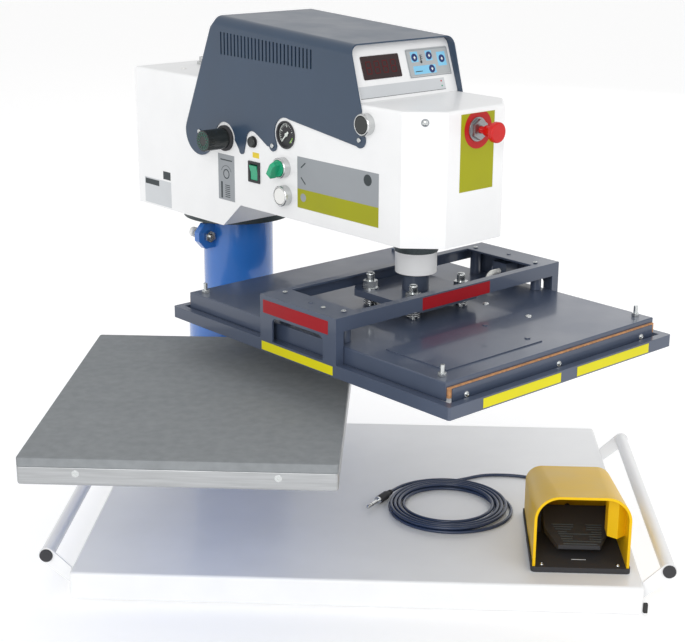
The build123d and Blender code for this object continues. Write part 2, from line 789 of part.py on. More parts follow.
def make_panel():
    half = housing_half_width
    panel = panel_piece(-half, half, -20.0, 90.0, -panel_thickness, 0)
    panel = panel & block(300, 430, -200, 200, housing_top, housing_top + 200)
    panel = panel & hood_limits(half, hood_sheet)[-1]
    window = panel_piece(-75.5, -4.0, 31.0, 63.5, -panel_thickness - 8, 1.0, 2.0)
    keypad = panel_piece(10.5, 93.0, 28.5, 67.0, 0, 0.8, 3.0)
    display_cut = panel_piece(-75.5, -4.0, 31.0, 63.5, -panel_thickness - 1, 1, 2.0)
    save("control_panel", on_arm(panel - display_cut))
    save("display_window", on_arm(window))
    save("keypad", on_arm(keypad))
    screws = []
    outer = housing_half_width + hood_sheet
    for s, z in ((37.2, 310.5), (216.3, 312.6), (403.8, 345.7)):
        for side in (-1, 1):
            head = across(s, z + side_level, side * outer, side * (outer + 2.4), 3.6)
            end = head.faces().sort_by(Axis.Y)[0 if side < 0 else -1]
            screws.append(fillet(end.edges(), 1.2))
    save("hood_screws", *[on_arm(item) for item in screws])


# Controls
def outward(s, z, y0, y1, radius):
    """A round piece standing out of the near side, y0 and y1 measured outwards."""
    return across(s, z, -housing_half_width - y0, -housing_half_width - y1, radius)


def ring_out(s, z, y0, y1, outer, inner):
    return outward(s, z, y0, y1, outer) - outward(s, z, y0 - 1, y1 + 1, inner)


def make_regulator():
    s, z = regulator_at
    body = outward(s, z, -20, 0, 11.9) + outward(s, z, 0, collar_length, collar_radius)
    body += block(s - 22, s + 22, -housing_half_width + 4, -housing_half_width + 20, z - 22, z + 22)
    body += outward(s, z, collar_length, collar_length + 14, 5.0)
    save("regulator_body", on_arm(body))
    start = collar_length + button_clearance
    knob = outward(s, z, start, start + knob_length, knob_radius)
    knob -= outward(s, z, start - 1, collar_length + 15, 5.0 + running_clearance)
    for index in range(24):
        angle = math.radians(index * 15)
        knob -= outward(s + knob_radius * math.cos(angle), z + knob_radius * math.sin(angle),
                        start + knob_length - 11, start + knob_length + 1, 0.7)
    save("regulator_knob", on_arm(knob))


def make_gauge():
    s, z = gauge_at
    case = outward(s, z, -gauge_depth, 0, gauge_radius - 2.2) + outward(s, z, 0, gauge_proud, gauge_radius)
    case -= outward(s, z, -1.5, gauge_proud + 1, gauge_radius - 2.6)
    case += outward(s, z, -2, -0.4, 1.0)
    save("gauge_case", on_arm(case))
    hub = ring_out(s, z, -1.0, 0.6, 2.6, 1.0 + running_clearance)
    pointer = side_outline([(s - 1.3, z), (s + 1.3, z), (s + 0.5, z - 14), (s - 0.5, z - 14)],
                           -housing_half_width - 0.2, -housing_half_width + 0.6)
    tail = side_outline([(s - 1.6, z), (s + 1.6, z), (s + 1.6, z + 6), (s - 1.6, z + 6)],
                        -housing_half_width - 0.2, -housing_half_width + 0.6)
    needle = hub + ((pointer + tail) - outward(s, z, -3, 3, 1.0 + running_clearance))
    turned = Pos(s, 0, z) * (Rot(0, needle_rest, 0) * (Pos(-s, 0, -z) * needle))
    save("gauge_needle", on_arm(turned))


def make_rocker():
    s, z = rocker_at
    face = -housing_half_width
    frame = block(s - rocker_width / 2, s + rocker_width / 2, face - 2, face, z - rocker_height / 2,
                  z + rocker_height / 2)
    frame += block(s - 10.9, s + 10.9, face, face + 18, z - 13.4, z + 13.4)
    frame -= block(s - 9, s + 9, face - 3, face + 14, z - 12.2, z + 12.2)
    pin = along(face + 3, z, s - 9, s + 9, 1.2)
    save("rocker_frame", on_arm(frame + pin))
    points = [(z - 11.2, face - 2.6), (z, face - 1.0), (z + 11.2, face - 2.6), (z + 9.5, face + 6.5),
              (z - 9.5, face + 6.5)]
    wire = Polyline(*[(0, y, h) for h, y in points], close=True)
    cap = Pos(s - 8.4, 0, 0) * extrude(make_face(wire), amount=16.8, dir=(1, 0, 0))
    cap -= along(face + 3, z, s - 10, s + 10, 1.2 + running_clearance)
    tilted = Pos(0, face + 3, z) * (Rot(rocker_tilt, 0, 0) * (Pos(0, -face - 3, -z) * cap))
    save("rocker_switch", on_arm(tilted))


def bezel(s, z):
    front = outward(s, z, 0, bezel_length, bezel_radius)
    front = chamfer(front.faces().sort_by(Axis.Y)[0].edges(), bezel_radius - bezel_face_radius)
    front += outward(s, z, -20, 0, 10.8)
    front -= outward(s, z, 2, bezel_length + 1, button_radius + 0.6)
    front -= outward(s, z, -10, 3, 6.0 + running_clearance)
    return front


def make_buttons():
    near = [bezel(*selector_at), bezel(*test_at), bezel(*start_at)]
    far = mirror(bezel(*start_at), about=Plane.XZ)
    s, z = breaker_at
    collar = ring_out(s, z, -12, 1.5, 5.9, 4.0 + running_clearance) + ring_out(s, z, 0, 1.5, breaker_radius, 5)
    save("control_bezels", *[on_arm(item) for item in near + [far, collar]])
    floor = 2 + button_travel + seat_gap
    for name, place in (("test_button", test_at), ("start_button_near", start_at)):
        s, z = place
        cap = outward(s, z, floor, bezel_length, button_radius)
        cap = fillet(cap.faces().sort_by(Axis.Y)[0].edges(), 0.8)
        cap += outward(s, z, -4, floor, 6.0)
        save(name, on_arm(cap))
        if place is start_at:
            save("start_button_far", on_arm(mirror(cap, about=Plane.XZ)))
    s, z = selector_at
    disc = outward(s, z, 2 + seat_gap, bezel_length + 1, button_radius)
    disc += outward(s, z, -8, 3, 6.0)
    face = -housing_half_width
    bar = block(s - 4, s + 4, face - bezel_length - 15, face - bezel_length - 0.5, z - 14.5, z + 10)
    bar = chamfer(bar.edges().filter_by(Axis.X).group_by(Axis.Y)[0], 4)
    knob = disc + bar
    turned = Pos(s, 0, z) * (Rot(0, 30, 0) * (Pos(-s, 0, -z) * knob))
    save("selector_knob", on_arm(turned))
    s, z = breaker_at
    dome = outward(s, z, 1.5 + 2.3, 6.5, breaker_radius - 0.6)
    dome = fillet(dome.faces().sort_by(Axis.Y)[0].edges(), 2.2)
    dome += outward(s, z, -8, 4, 4.0)
    save("breaker_button", on_arm(dome))


def make_estop():
    z = estop_height
    x = housing_front
    base = along(0, z, x - 26, x, 10.8) + along(0, z, x, x + 2.5, 16.5)
    base += Pos(x + 2.5, 0, z) * (Rot(0, 90, 0) * extrude(RegularPolygon(estop_nut_radius, 6), amount=estop_nut_length - 2.5))
    base -= along(0, z, x - 20, x + 20, estop_stem_radius + running_clearance)
    save("estop_base", on_arm(base))
    end = x + estop_reach
    stem = along(0, z, x - 10, end - 4, estop_stem_radius)
    neck_start = x + estop_nut_length + estop_travel + 2
    neck = Pos((neck_start + end - estop_knob_thickness) / 2, 0, z) * (
        Rot(0, 90, 0) * Cone(7.0, 9.0, end - estop_knob_thickness - neck_start))
    head = along(0, z, end - estop_knob_thickness, end, estop_knob_radius)
    head = fillet(head.faces().sort_by(Axis.X)[-1].edges(), 2.4)
    save("estop_knob", on_arm(stem + neck + head))


# Ram and heater
def make_ram():
    piston = upright(0, 0, piston_base, piston_top, bore_radius - running_clearance)
    groove = tube(0, 0, piston_base + 8, piston_base + 14, bore_radius + 1, bore_radius - 3)
    rod = upright(0, 0, cross_plate_top, piston_base, rod_radius)
    save("piston_rod", on_ram(piston - groove + rod))
    fore = cross_plate_fore
    half = cross_plate_half
    plate = block(-fore, fore, -half, half, cross_plate_base, cross_plate_top)
    plate = chamfer(plate.edges().filter_by(Axis.Z), cross_plate_chamfer)
    bolts = []
    springs = []
    for a in (-bolt_fore, bolt_fore):
        for b in (-bolt_half, bolt_half):
            plate -= upright(a, b, cross_plate_base - 1, cross_plate_top + 1, spring_bolt_radius)
            shank = upright(a, b, cover_top, spring_bolt_top, spring_bolt_radius)
            shank = fillet(shank.faces().sort_by(Axis.Z)[-1].edges(), 3)
            washer = upright(a, b, cross_plate_top, cross_plate_top + 2, 12)
            nut = hexagon(a, b, cross_plate_top + 2, cross_plate_top + 12, 19)
            bolts.append(shank + washer + nut)
            springs.append(coil_spring(a, b, cover_top, cross_plate_base, 9.2, 1.3, 4))
    save("cross_plate", on_ram(plate))
    save("spring_bolts", *[on_ram(item) for item in bolts])
    save("bolt_springs", *[on_ram(item) for item in springs])


def make_cover():
    fore = cover_fore
    half = cover_half
    outer = block(-fore, fore, -half, half, cover_top - cover_skirt, cover_top)
    outer = fillet(outer.faces().sort_by(Axis.Z)[-1].edges(), 1.5)
    sheet = cover_sheet
    inner = block(-fore + sheet, fore - sheet, -half + sheet, half - sheet, cover_top - cover_skirt - 1, board_top)
    cover = outer - inner
    cover -= block(-fore - 1, fore + 1, -board_half, board_half, cover_top - cover_skirt - 1,
                   cover_top - cover_end_skirt)
    access = block(125, 235, -176, 6, cover_top, cover_top + 1.5)
    for a in (139, 216):
        access += upright(a, -2, cover_top + 1.5, cover_top + 3, 4)
    cover += access
    lug_fore, lug_half = terminal_fore, terminal_half
    box = block(lug_fore - terminal_width / 2, lug_fore + terminal_width / 2, lug_half - terminal_length / 2,
                lug_half + terminal_length / 2 - 6, cover_top, cover_top + terminal_height)
    cover += box
    for a in (-corner_stud_fore, corner_stud_fore):
        for b in (-corner_stud_half, corner_stud_half):
            cover -= upright(a, b, cover_top - 5, cover_top + 1, corner_stud_radius)
    save("heater_cover", on_ram(cover))
    board = block(-board_fore, board_fore, -board_half + seat_gap, board_half - seat_gap, board_base,
                  cover_top - cover_end_skirt)
    board += block(-fore + sheet, fore - sheet, -board_half + seat_gap, board_half - seat_gap,
                   board_base, board_top)
    for side in (-1, 1):
        board += block(side * (board_fore - board_end_width), side * board_fore, -board_half + seat_gap,
                       board_half - seat_gap, platen_top + 0.5, cover_top - cover_end_skirt)
    for a in (-corner_stud_fore, corner_stud_fore):
        for b in (-corner_stud_half, corner_stud_half):
            board -= upright(a, b, board_base - 1, board_top + 1, corner_stud_radius)
    save("insulation_board", on_ram(board))


def make_platen():
    platen = block(-platen_fore, platen_fore, -platen_half, platen_half, platen_base, platen_top)
    platen = fillet(platen.edges().filter_by(Axis.Z), 4)
    save("platen", on_ram(platen))
    half = element_runs * element_pitch / 2 - element_pitch / 2
    reach_out = platen_fore - 50
    z = platen_top + element_radius
    edges = []
    for index in range(element_runs):
        t = -half + index * element_pitch
        sign = 1 if index % 2 == 0 else -1
        edges.append(Line((-sign * reach_out, t, z), (sign * reach_out, t, z)))
        if index < element_runs - 1:
            edges.append(TangentArc((sign * reach_out, t, z), (sign * reach_out, t + element_pitch, z),
                                    tangent=(sign, 0, 0)))
    path = Wire(edges)
    section = Plane(origin=path @ 0, z_dir=path % 0) * Circle(element_radius)
    save("heating_element", on_ram(sweep(section, path)))
    studs = []
    for a in (-corner_stud_fore, corner_stud_fore):
        for b in (-corner_stud_half, corner_stud_half):
            stud = upright(a, b, platen_top, corner_stud_top, corner_stud_radius)
            studs.append(stud + hexagon(a, b, cover_top, cover_top + 5, 10))
    for a in (-guide_pin_fore, guide_pin_fore):
        for b in (-guide_pin_half, guide_pin_half):
            studs.append(upright(a, b, cover_top, portal_top - portal_sheet - 6, guide_pin_radius))
    save("heater_studs", *[on_ram(item) for item in studs])
    plates = []
    low = platen_base + 10
    for side in (-1, 1):
        x0 = side * board_fore
        x1 = side * (board_fore + end_plate_thickness)
        plate = block(x0, x1, -end_plate_half, end_plate_half, low, low + end_plate_height)
        tab = block(side * platen_fore, x0, -end_plate_half + 20, end_plate_half - 20, low, low + 4)
        plate += tab
        for t in (-176, 0, 176):
            plate += along(t, low + 10.5, x1, x1 + side * 1.4, 3.2)
        plates.append(plate)
    save("end_plates", *[on_ram(item) for item in plates])


def make_heater_lead():
    """White sleeved lead from the cover to the terminal box under the frame."""
    a = terminal_fore
    b = terminal_half - terminal_length / 2
    foot_t = b - 26
    high = cover_top + 17
    path = FilletPolyline((a, foot_t, cover_top), (a, foot_t, high), (a, b, high), radius=12.5)
    section = Plane(origin=path @ 0, z_dir=path % 0) * Circle(lead_radius)
    save("heater_lead", on_ram(sweep(section, path)))


def make_safety_frame():
    ring = block(-ring_fore, ring_fore, -ring_half, ring_half, ring_base, ring_top)
    ring = fillet(ring.edges().filter_by(Axis.Z), 3)
    ring -= block(-ring_inner_fore, ring_inner_fore, -ring_inner_half, ring_inner_half, ring_base - 1, ring_top + 1)
    fore = portal_fore
    half = ring_half
    sheet = portal_sheet
    portal = block(-fore, fore, -half, half, ring_top, portal_top)
    portal -= block(-fore + sheet, fore - sheet, -half + sheet, half - sheet, ring_top - 1, portal_top - sheet)
    rail_base = portal_top - portal_rail_height
    leg = half - portal_return
    portal -= block(-fore - 1, fore + 1, -leg, leg, ring_top - 1, rail_base)
    portal -= block(-fore + portal_rail_width, fore - portal_rail_width, -half + portal_end_width,
                    half - portal_end_width, rail_base, portal_top + 1)
    window = block(-portal_window_half, portal_window_half, -half - 1, half + 1, ring_top - 1, portal_window_top)
    portal -= fillet(window.edges().filter_by(Axis.Y).group_by(Axis.Z)[-1], portal_window_corner)
    frame = ring + portal
    for a in (-guide_pin_fore, guide_pin_fore):
        for b in (-guide_pin_half, guide_pin_half):
            frame += tube(a, b, cover_top + seat_gap, portal_top - sheet, guide_sleeve_radius,
                          guide_pin_radius + running_clearance)
    for side in (-1, 1):
        for a in (-62, 0, 60):
            frame += upright(a, side * (guide_pin_half + (7 if a == 0 else 0)), portal_top, portal_top + 1.2, 3.2)
    save("safety_frame", on_ram(frame))


# Foot pedal
def pedal_share(front_size, rear_size, y):
    """A size of the cover at a depth, between its front and its rear."""
    return front_size + (rear_size - front_size) * (y - pedal_front) / pedal_length


def pedal_section(inset, y, low):
    half = pedal_share(pedal_width, pedal_rear_width, y) / 2 - inset
    crown = base_top + pedal_share(pedal_height, pedal_rear_height, y) - inset
    radius = pedal_share(pedal_shoulder_radius, pedal_rear_radius, y) - inset
    left = pedal_x - half
    right = pedal_x + half
    shoulder = crown - radius
    low_edge = Line((right, y, low), (left, y, low))
    left_edge = Line((left, y, low), (left, y, shoulder))
    left_arc = TangentArc((left, y, shoulder), (left + radius, y, crown), tangent=(0, 0, 1))
    top_edge = Line((left + radius, y, crown), (right - radius, y, crown))
    right_arc = TangentArc((right - radius, y, crown), (right, y, shoulder), tangent=(1, 0, 0))
    right_edge = Line((right, y, shoulder), (right, y, low))
    return make_face(Wire([low_edge, left_edge, left_arc, top_edge, right_arc, right_edge]))


def pedal_arch(inset, y0, y1):
    """A tunnel with rounded shoulders, narrower and lower at the rear than at the front."""
    low = pedal_base_top - (0 if inset == 0 else 1)
    return loft([pedal_section(inset, y0, low), pedal_section(inset, y1, low)], ruled=True)


def make_pedal():
    front = pedal_front
    rear = front + pedal_length
    half = pedal_width / 2 + pedal_plate_rim
    rear_half = pedal_rear_width / 2 + pedal_plate_rim
    outline = [(pedal_x - half, front - pedal_plate_rim), (pedal_x + half, front - pedal_plate_rim),
               (pedal_x + rear_half, rear), (pedal_x - rear_half, rear)]
    plate = plan_outline(outline, base_top, pedal_base_top)
    plate = fillet(plate.edges().filter_by(Axis.Z).group_by(Axis.Y)[0], 6)
    lip_left = pedal_x - half
    lip_front = front + pedal_lip_start
    plate += block(lip_left, lip_left + pedal_lip_width - seat_gap, lip_front, lip_front + pedal_lip_length,
                   pedal_base_top - 2, base_top + pedal_lip_height)
    ear_y = treadle_pivot_y
    ear_z = base_top + treadle_pivot_height
    for side in (-1, 1):
        x0 = pedal_x + side * (treadle_width / 2 + 0.6)
        ear = block(x0, x0 + side * 5, ear_y - 8, ear_y + 8, pedal_base_top, ear_z + 8)
        ear -= along(ear_y, ear_z, x0 - side, x0 + side * 6, treadle_pin_radius + running_clearance)
        plate += ear
    save("pedal_base", plate)
    make_pedal_cover(front, rear)
    make_treadle()
    switch = block(pedal_x - 10, pedal_x + 10, treadle_rear + 8, treadle_rear + 38, pedal_base_top, pedal_base_top + 20)
    save("pedal_switch", switch)
    gland = across(pedal_x, gland_height(), rear, rear + 14, 6.5)
    gland = fillet(gland.faces().sort_by(Axis.Y)[-1].edges(), 2)
    gland += across(pedal_x, gland_height(), rear - pedal_wall - 4, rear, 4.5)
    save("pedal_gland", gland)


def gland_height():
    return pedal_base_top + 7.0


def make_pedal_cover(front, rear):
    cover = pedal_arch(0, front, rear) - pedal_arch(pedal_wall, front - 1, rear - pedal_wall)
    cover -= across(pedal_x, gland_height(), rear - pedal_wall - 1, rear + 1, 4.5)
    right = pedal_x + pedal_width / 2
    left = right - pedal_wall - pedal_post_width
    edge_y = front + 16
    outline = [(left, edge_y + 10), (left + pedal_post_width / 2, edge_y), (right, edge_y + 16),
               (right, edge_y + pedal_post_depth), (left, edge_y + pedal_post_depth)]
    post = plan_outline(outline, base_top + pedal_post_base, base_top + pedal_height)
    cover += post & pedal_arch(1, front, rear)
    save("pedal_cover", cover)


def make_treadle():
    z0 = base_top + treadle_front_height
    z1 = base_top + treadle_rear_height
    thick = treadle_thickness
    points = [(treadle_front, z0), (treadle_front, z0 - thick + 2), (treadle_front + 3, z0 - thick),
              (treadle_rear, z1 - thick), (treadle_rear, z1)]
    wire = Polyline(*[(0, y, z) for y, z in points], close=True)
    half = treadle_width / 2
    slab = Pos(pedal_x - half, 0, 0) * extrude(make_face(wire), amount=treadle_width, dir=(1, 0, 0))
    toe = treadle_toe_width / 2
    shoulder_y = treadle_front + treadle_toe_length
    plan = [(pedal_x - toe, treadle_front - 1), (pedal_x + toe, treadle_front - 1), (pedal_x + half, shoulder_y),
            (pedal_x + half, treadle_rear + 20), (pedal_x - half, treadle_rear + 20), (pedal_x - half, shoulder_y)]
    slab = slab & plan_outline(plan, base_top, base_top + pedal_height)
    hub = along(treadle_pivot_y, base_top + treadle_pivot_height, pedal_x - half, pedal_x + half, 6.5)
    rise = (z1 - z0) / (treadle_rear - treadle_front)
    treadle = slab + hub
    treadle -= along(treadle_pivot_y, base_top + treadle_pivot_height, pedal_x - half - 1, pedal_x + half + 1,
                     treadle_pin_radius)
    save("pedal_treadle", treadle)
    pin = along(treadle_pivot_y, base_top + treadle_pivot_height, pedal_x - half - 5, pedal_x + half + 5,
                treadle_pin_radius)
    save("pedal_pin", pin)
    y = treadle_front + 42
    top = z0 + (y - treadle_front) * rise - thick - 3.4
    save("pedal_spring", coil_spring(pedal_x, y, pedal_base_top, top, 7, 0.9, 6))


# Cord
def two_arcs(start, start_way, end, end_way):
    """Two arcs that leave a point one way and reach another the other way, in one smooth bend."""
    span = end - start
    both = start_way + end_way
    a = 2 * (start_way.dot(end_way) - 1)
    b = -2 * span.dot(both)
    c = span.dot(span)
    handle = -c / b if abs(a) < 1e-9 else (-b - math.sqrt(b * b - 4 * a * c)) / (2 * a)
    corner_one = start + start_way * handle
    corner_two = end - end_way * handle
    middle = (corner_one + corner_two) * 0.5
    middle_way = (corner_two - corner_one).normalized()
    return [TangentArc(start, middle, tangent=start_way), TangentArc(middle, end, tangent=middle_way)]


def coil_place(angle, radius, z):
    """A point of the coil and the way that the cord runs through it, turning left."""
    turn = math.radians(angle)
    place = Vector(coil_x + radius * math.cos(turn), coil_y + radius * math.sin(turn), z)
    return place, Vector(-math.sin(turn), math.cos(turn), 0)


def coil_stops():
    """Angle, radius and height of the cord's axis wherever two of its bends meet."""
    low = cord_height
    high = low + coil_layer_step
    stops = [(112.0, coil_outer, low), (260.0, coil_outer, low), (350.0, coil_loose, low)]
    radius = coil_outer - coil_first_drop
    for index in range(4):
        stops.append((80.0 if index % 2 == 0 else 260.0, radius, low))
        radius -= coil_drops[index]
    stops.append((80.0, radius, low))
    stops.append((260.0, radius - coil_climb_drop, high))
    radius += coil_climb_rise
    for index in range(coil_top_half_turns):
        stops.append((80.0 if index % 2 == 0 else 260.0, radius, high))
        radius += coil_pitch / 2
    stops.append((coil_exit_angle, coil_exit_radius, base_top + plug_sleeve_radius + 0.2))
    return stops


def coil_path():
    straight = 2 * cord_radius
    stops = [coil_place(*stop) for stop in coil_stops()]
    start, way = stops[0]
    edges = [Line(start - way * straight, start)]
    for (place, way), (target, target_way) in zip(stops, stops[1:]):
        edges.extend(two_arcs(place, way, target, target_way))
    end, way = stops[-1]
    edges.append(Line(end, end + way * straight))
    return Wire(edges), end + way * straight, way


def lead_route():
    """Points of the free stretch, from the pedal's gland to the coil's start."""
    gland_z = gland_height()
    x = pedal_x
    rear = pedal_front + pedal_length + 14
    low = cord_height
    end, way = coil_place(*coil_stops()[0])
    end = end - way * (2 * cord_radius)
    points = [(x, rear, gland_z), (x, rear + 14, gland_z), (x, rear + 34, low + 2), (x - 1, rear + 58, low),
              (527, -164, low), (511, -145, low), (487, -132, low), (463, -125, low), (438, -123, low),
              (414, -125, low)]
    points = [Vector(*point) for point in points]
    aside = Vector(way.Y, -way.X, 0)
    for back, off in ((86, 5.7), (66, 2.2), (43, 0.6), (20, 0.0), (0, 0.0)):
        points.append(end - way * back + aside * off)
    return points


def lead_radii(points):
    radii = []
    for before, here, after in zip(points, points[1:], points[2:]):
        first = here - before
        second = after - here
        half = math.radians(first.get_angle(second)) / 2
        radii.append(0.45 * min(first.length, second.length) / math.tan(half))
    return radii


def least_gap(path, radius, samples=1500):
    """Least distance between stretches of a path that lie apart along it, less the cord."""
    points = [path @ (index / samples) for index in range(samples + 1)]
    step = path.length / samples
    skip = int(12 * radius / step) + 1
    least = 1e9
    for index, here in enumerate(points):
        for other in points[index + skip:]:
            dx = here.X - other.X
            dy = here.Y - other.Y
            dz = here.Z - other.Z
            least = min(least, dx * dx + dy * dy + dz * dz)
    return math.sqrt(least) - 2 * radius


def make_cord():
    path, end, heading = coil_path()
    section = Plane(origin=path @ 0, z_dir=path % 0) * Circle(cord_radius)
    coil = sweep(section, path)
    print("coil length", round(path.length, 1), "least gap", round(least_gap(path, cord_radius), 2),
          "volume ratio", round(coil.volume / (math.pi * cord_radius ** 2 * path.length), 4))
    save("cord_coil", coil)
    points = lead_route()
    radii = lead_radii(points)
    line = FilletPolyline(*points, radius=radii)
    section = Plane(origin=line @ 0, z_dir=line % 0) * Circle(cord_radius)
    lead = sweep(section, line)
    print("lead length", round(line.length, 1), "radii", [round(value, 1) for value in radii],
          "volume ratio", round(lead.volume / (math.pi * cord_radius ** 2 * line.length), 4))
    save("cord_lead", lead)
    place = Plane(origin=end, z_dir=heading)
    relief = Pos(0, 0, 7) * Cone(cord_radius + 0.8, plug_sleeve_radius - 0.6, 14)
    sleeve = Pos(0, 0, 14 + (plug_sleeve_length - 14) / 2) * Cylinder(plug_sleeve_radius, plug_sleeve_length - 14)
    pin = Pos(0, 0, plug_sleeve_length + plug_pin_length / 2) * Cylinder(plug_pin_radius, plug_pin_length)
    pin = chamfer(pin.faces().sort_by(Axis.Z)[-1].edges(), 1.6)
    save("jack_plug", place * (relief + sleeve), place * pin)


os.makedirs("parts", exist_ok=True)
sides = make_base()
make_handles(*sides)
make_column()
make_table()
make_housing()
make_arm_frame()
make_cylinder()
make_hood()
make_regulator()
make_gauge()
make_rocker()
make_buttons()
make_estop()
make_ram()
make_cover()
make_platen()
make_heater_lead()
make_safety_frame()
make_pedal()
make_cord()
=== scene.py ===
"""Blender scene of a swing-arm pneumatic heat press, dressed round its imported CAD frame."""
import json
import logging
import math
from dataclasses import dataclass
from enum import Enum
from typing import Callable, Dict, Iterable, List, Optional, Sequence, Tuple, Union

import bmesh
import bpy
from mathutils import Matrix, Vector


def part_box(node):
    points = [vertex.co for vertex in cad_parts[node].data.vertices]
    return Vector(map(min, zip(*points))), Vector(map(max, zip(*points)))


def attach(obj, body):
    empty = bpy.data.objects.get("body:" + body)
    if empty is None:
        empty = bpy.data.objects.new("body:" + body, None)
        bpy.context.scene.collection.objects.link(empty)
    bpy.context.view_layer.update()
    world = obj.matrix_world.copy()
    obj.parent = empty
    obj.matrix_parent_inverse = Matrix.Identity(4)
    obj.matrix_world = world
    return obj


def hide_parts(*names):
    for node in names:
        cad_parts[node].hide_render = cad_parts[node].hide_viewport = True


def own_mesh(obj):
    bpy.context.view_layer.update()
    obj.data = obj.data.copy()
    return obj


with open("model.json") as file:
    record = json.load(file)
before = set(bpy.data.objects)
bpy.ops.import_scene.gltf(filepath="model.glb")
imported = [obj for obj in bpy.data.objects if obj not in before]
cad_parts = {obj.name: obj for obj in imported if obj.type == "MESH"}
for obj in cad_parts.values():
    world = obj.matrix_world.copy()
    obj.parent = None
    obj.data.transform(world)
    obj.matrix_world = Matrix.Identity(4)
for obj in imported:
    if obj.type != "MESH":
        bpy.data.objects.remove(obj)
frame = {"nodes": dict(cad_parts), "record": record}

LOG = logging.getLogger("press")
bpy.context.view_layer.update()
MM = 0.001

Triple = Tuple[float, float, float]
Pair = Tuple[float, float]
Rect = Tuple[Pair, Pair]
Profile = Sequence[Pair]
Mesh = bmesh.types.BMesh
Node = bpy.types.Node
Tree = bpy.types.NodeTree
Piece = bpy.types.Object

# Places, in millimetres and degrees
SWING = 44.5
REACH = 416.5
PAD_TOP = 287.5
BASE_TOP = 43.3
SIDE = 98.0
NOSE_FACE = 526.7
PANEL_LOW = (396.0, 0.0, 393.0 + PAD_TOP)
PANEL_HIGH = (369.0, 0.0, 471.0 + PAD_TOP)

UP = (0, 0, 1)
WORLD = Matrix.Identity(4)
UPRIGHT = Matrix.Rotation(math.radians(90.0), 4, "X")
ARM = Matrix.Rotation(math.radians(SWING - 90.0), 4, "Z")
RAM = ARM @ Matrix.Translation((REACH, 0.0, 0.0))
NEAR = ARM @ Matrix.Translation((0.0, -SIDE, 0.0)) @ UPRIGHT
NOSE = ARM @ Matrix.Translation((NOSE_FACE, 0.0, 0.0)) \
    @ Matrix.Rotation(math.radians(90.0), 4, "Z") @ UPRIGHT

# Values that all finishes share
WIDE_SCALE, WIDE_DETAIL = 14.0, 3.0
FINE_DETAIL = 4.0
GRAINS_A_CELL = 6.0
COAT_ROUGHNESS = 0.08
BUMP_SHARE = 0.25
COLOUR_ENDS = (0.32, 0.68)
DRIFT_ENDS = (0.3, 0.7)
DRIFT = (0.85, 1.15)
LEAST_ROUGHNESS = 0.02

# Values that all meshes share, in degrees, millimetres or metres
SHARP_PAST = 38.0
BEVEL_PAST = 35.0
FLAT_WITHIN = 0.6
WELD_MM = 1e-4
WELD_M = 2e-6
ROD_SIDES = 40


def panel_place() -> Matrix:
    """Return the control panel's plane: X across the arm, Y up the slope, Z outwards."""
    low, high = Vector(PANEL_LOW), Vector(PANEL_HIGH)
    up = (high - low).normalized()
    across = Vector((0.0, 1.0, 0.0))
    turn = Matrix((across, up, across.cross(up))).transposed().to_4x4()
    return ARM @ Matrix.Translation(low) @ turn


PANEL = panel_place()


class Grain(Enum):
    """The fine structure that a finish shows close up."""

    SMOOTH = "smooth"
    PEEL = "peel"
    BRUSHED = "brushed"
    FOAM = "foam"
    MOULDED = "moulded"
    BRAID = "braid"


COLOURED_BY_GRAIN = (Grain.FOAM, Grain.BRUSHED, Grain.BRAID)


def put(node: Node, values: Dict[str, object]) -> None:
    """Set a node's input sockets by their names."""
    for name, value in values.items():
        node.inputs[name].default_value = value


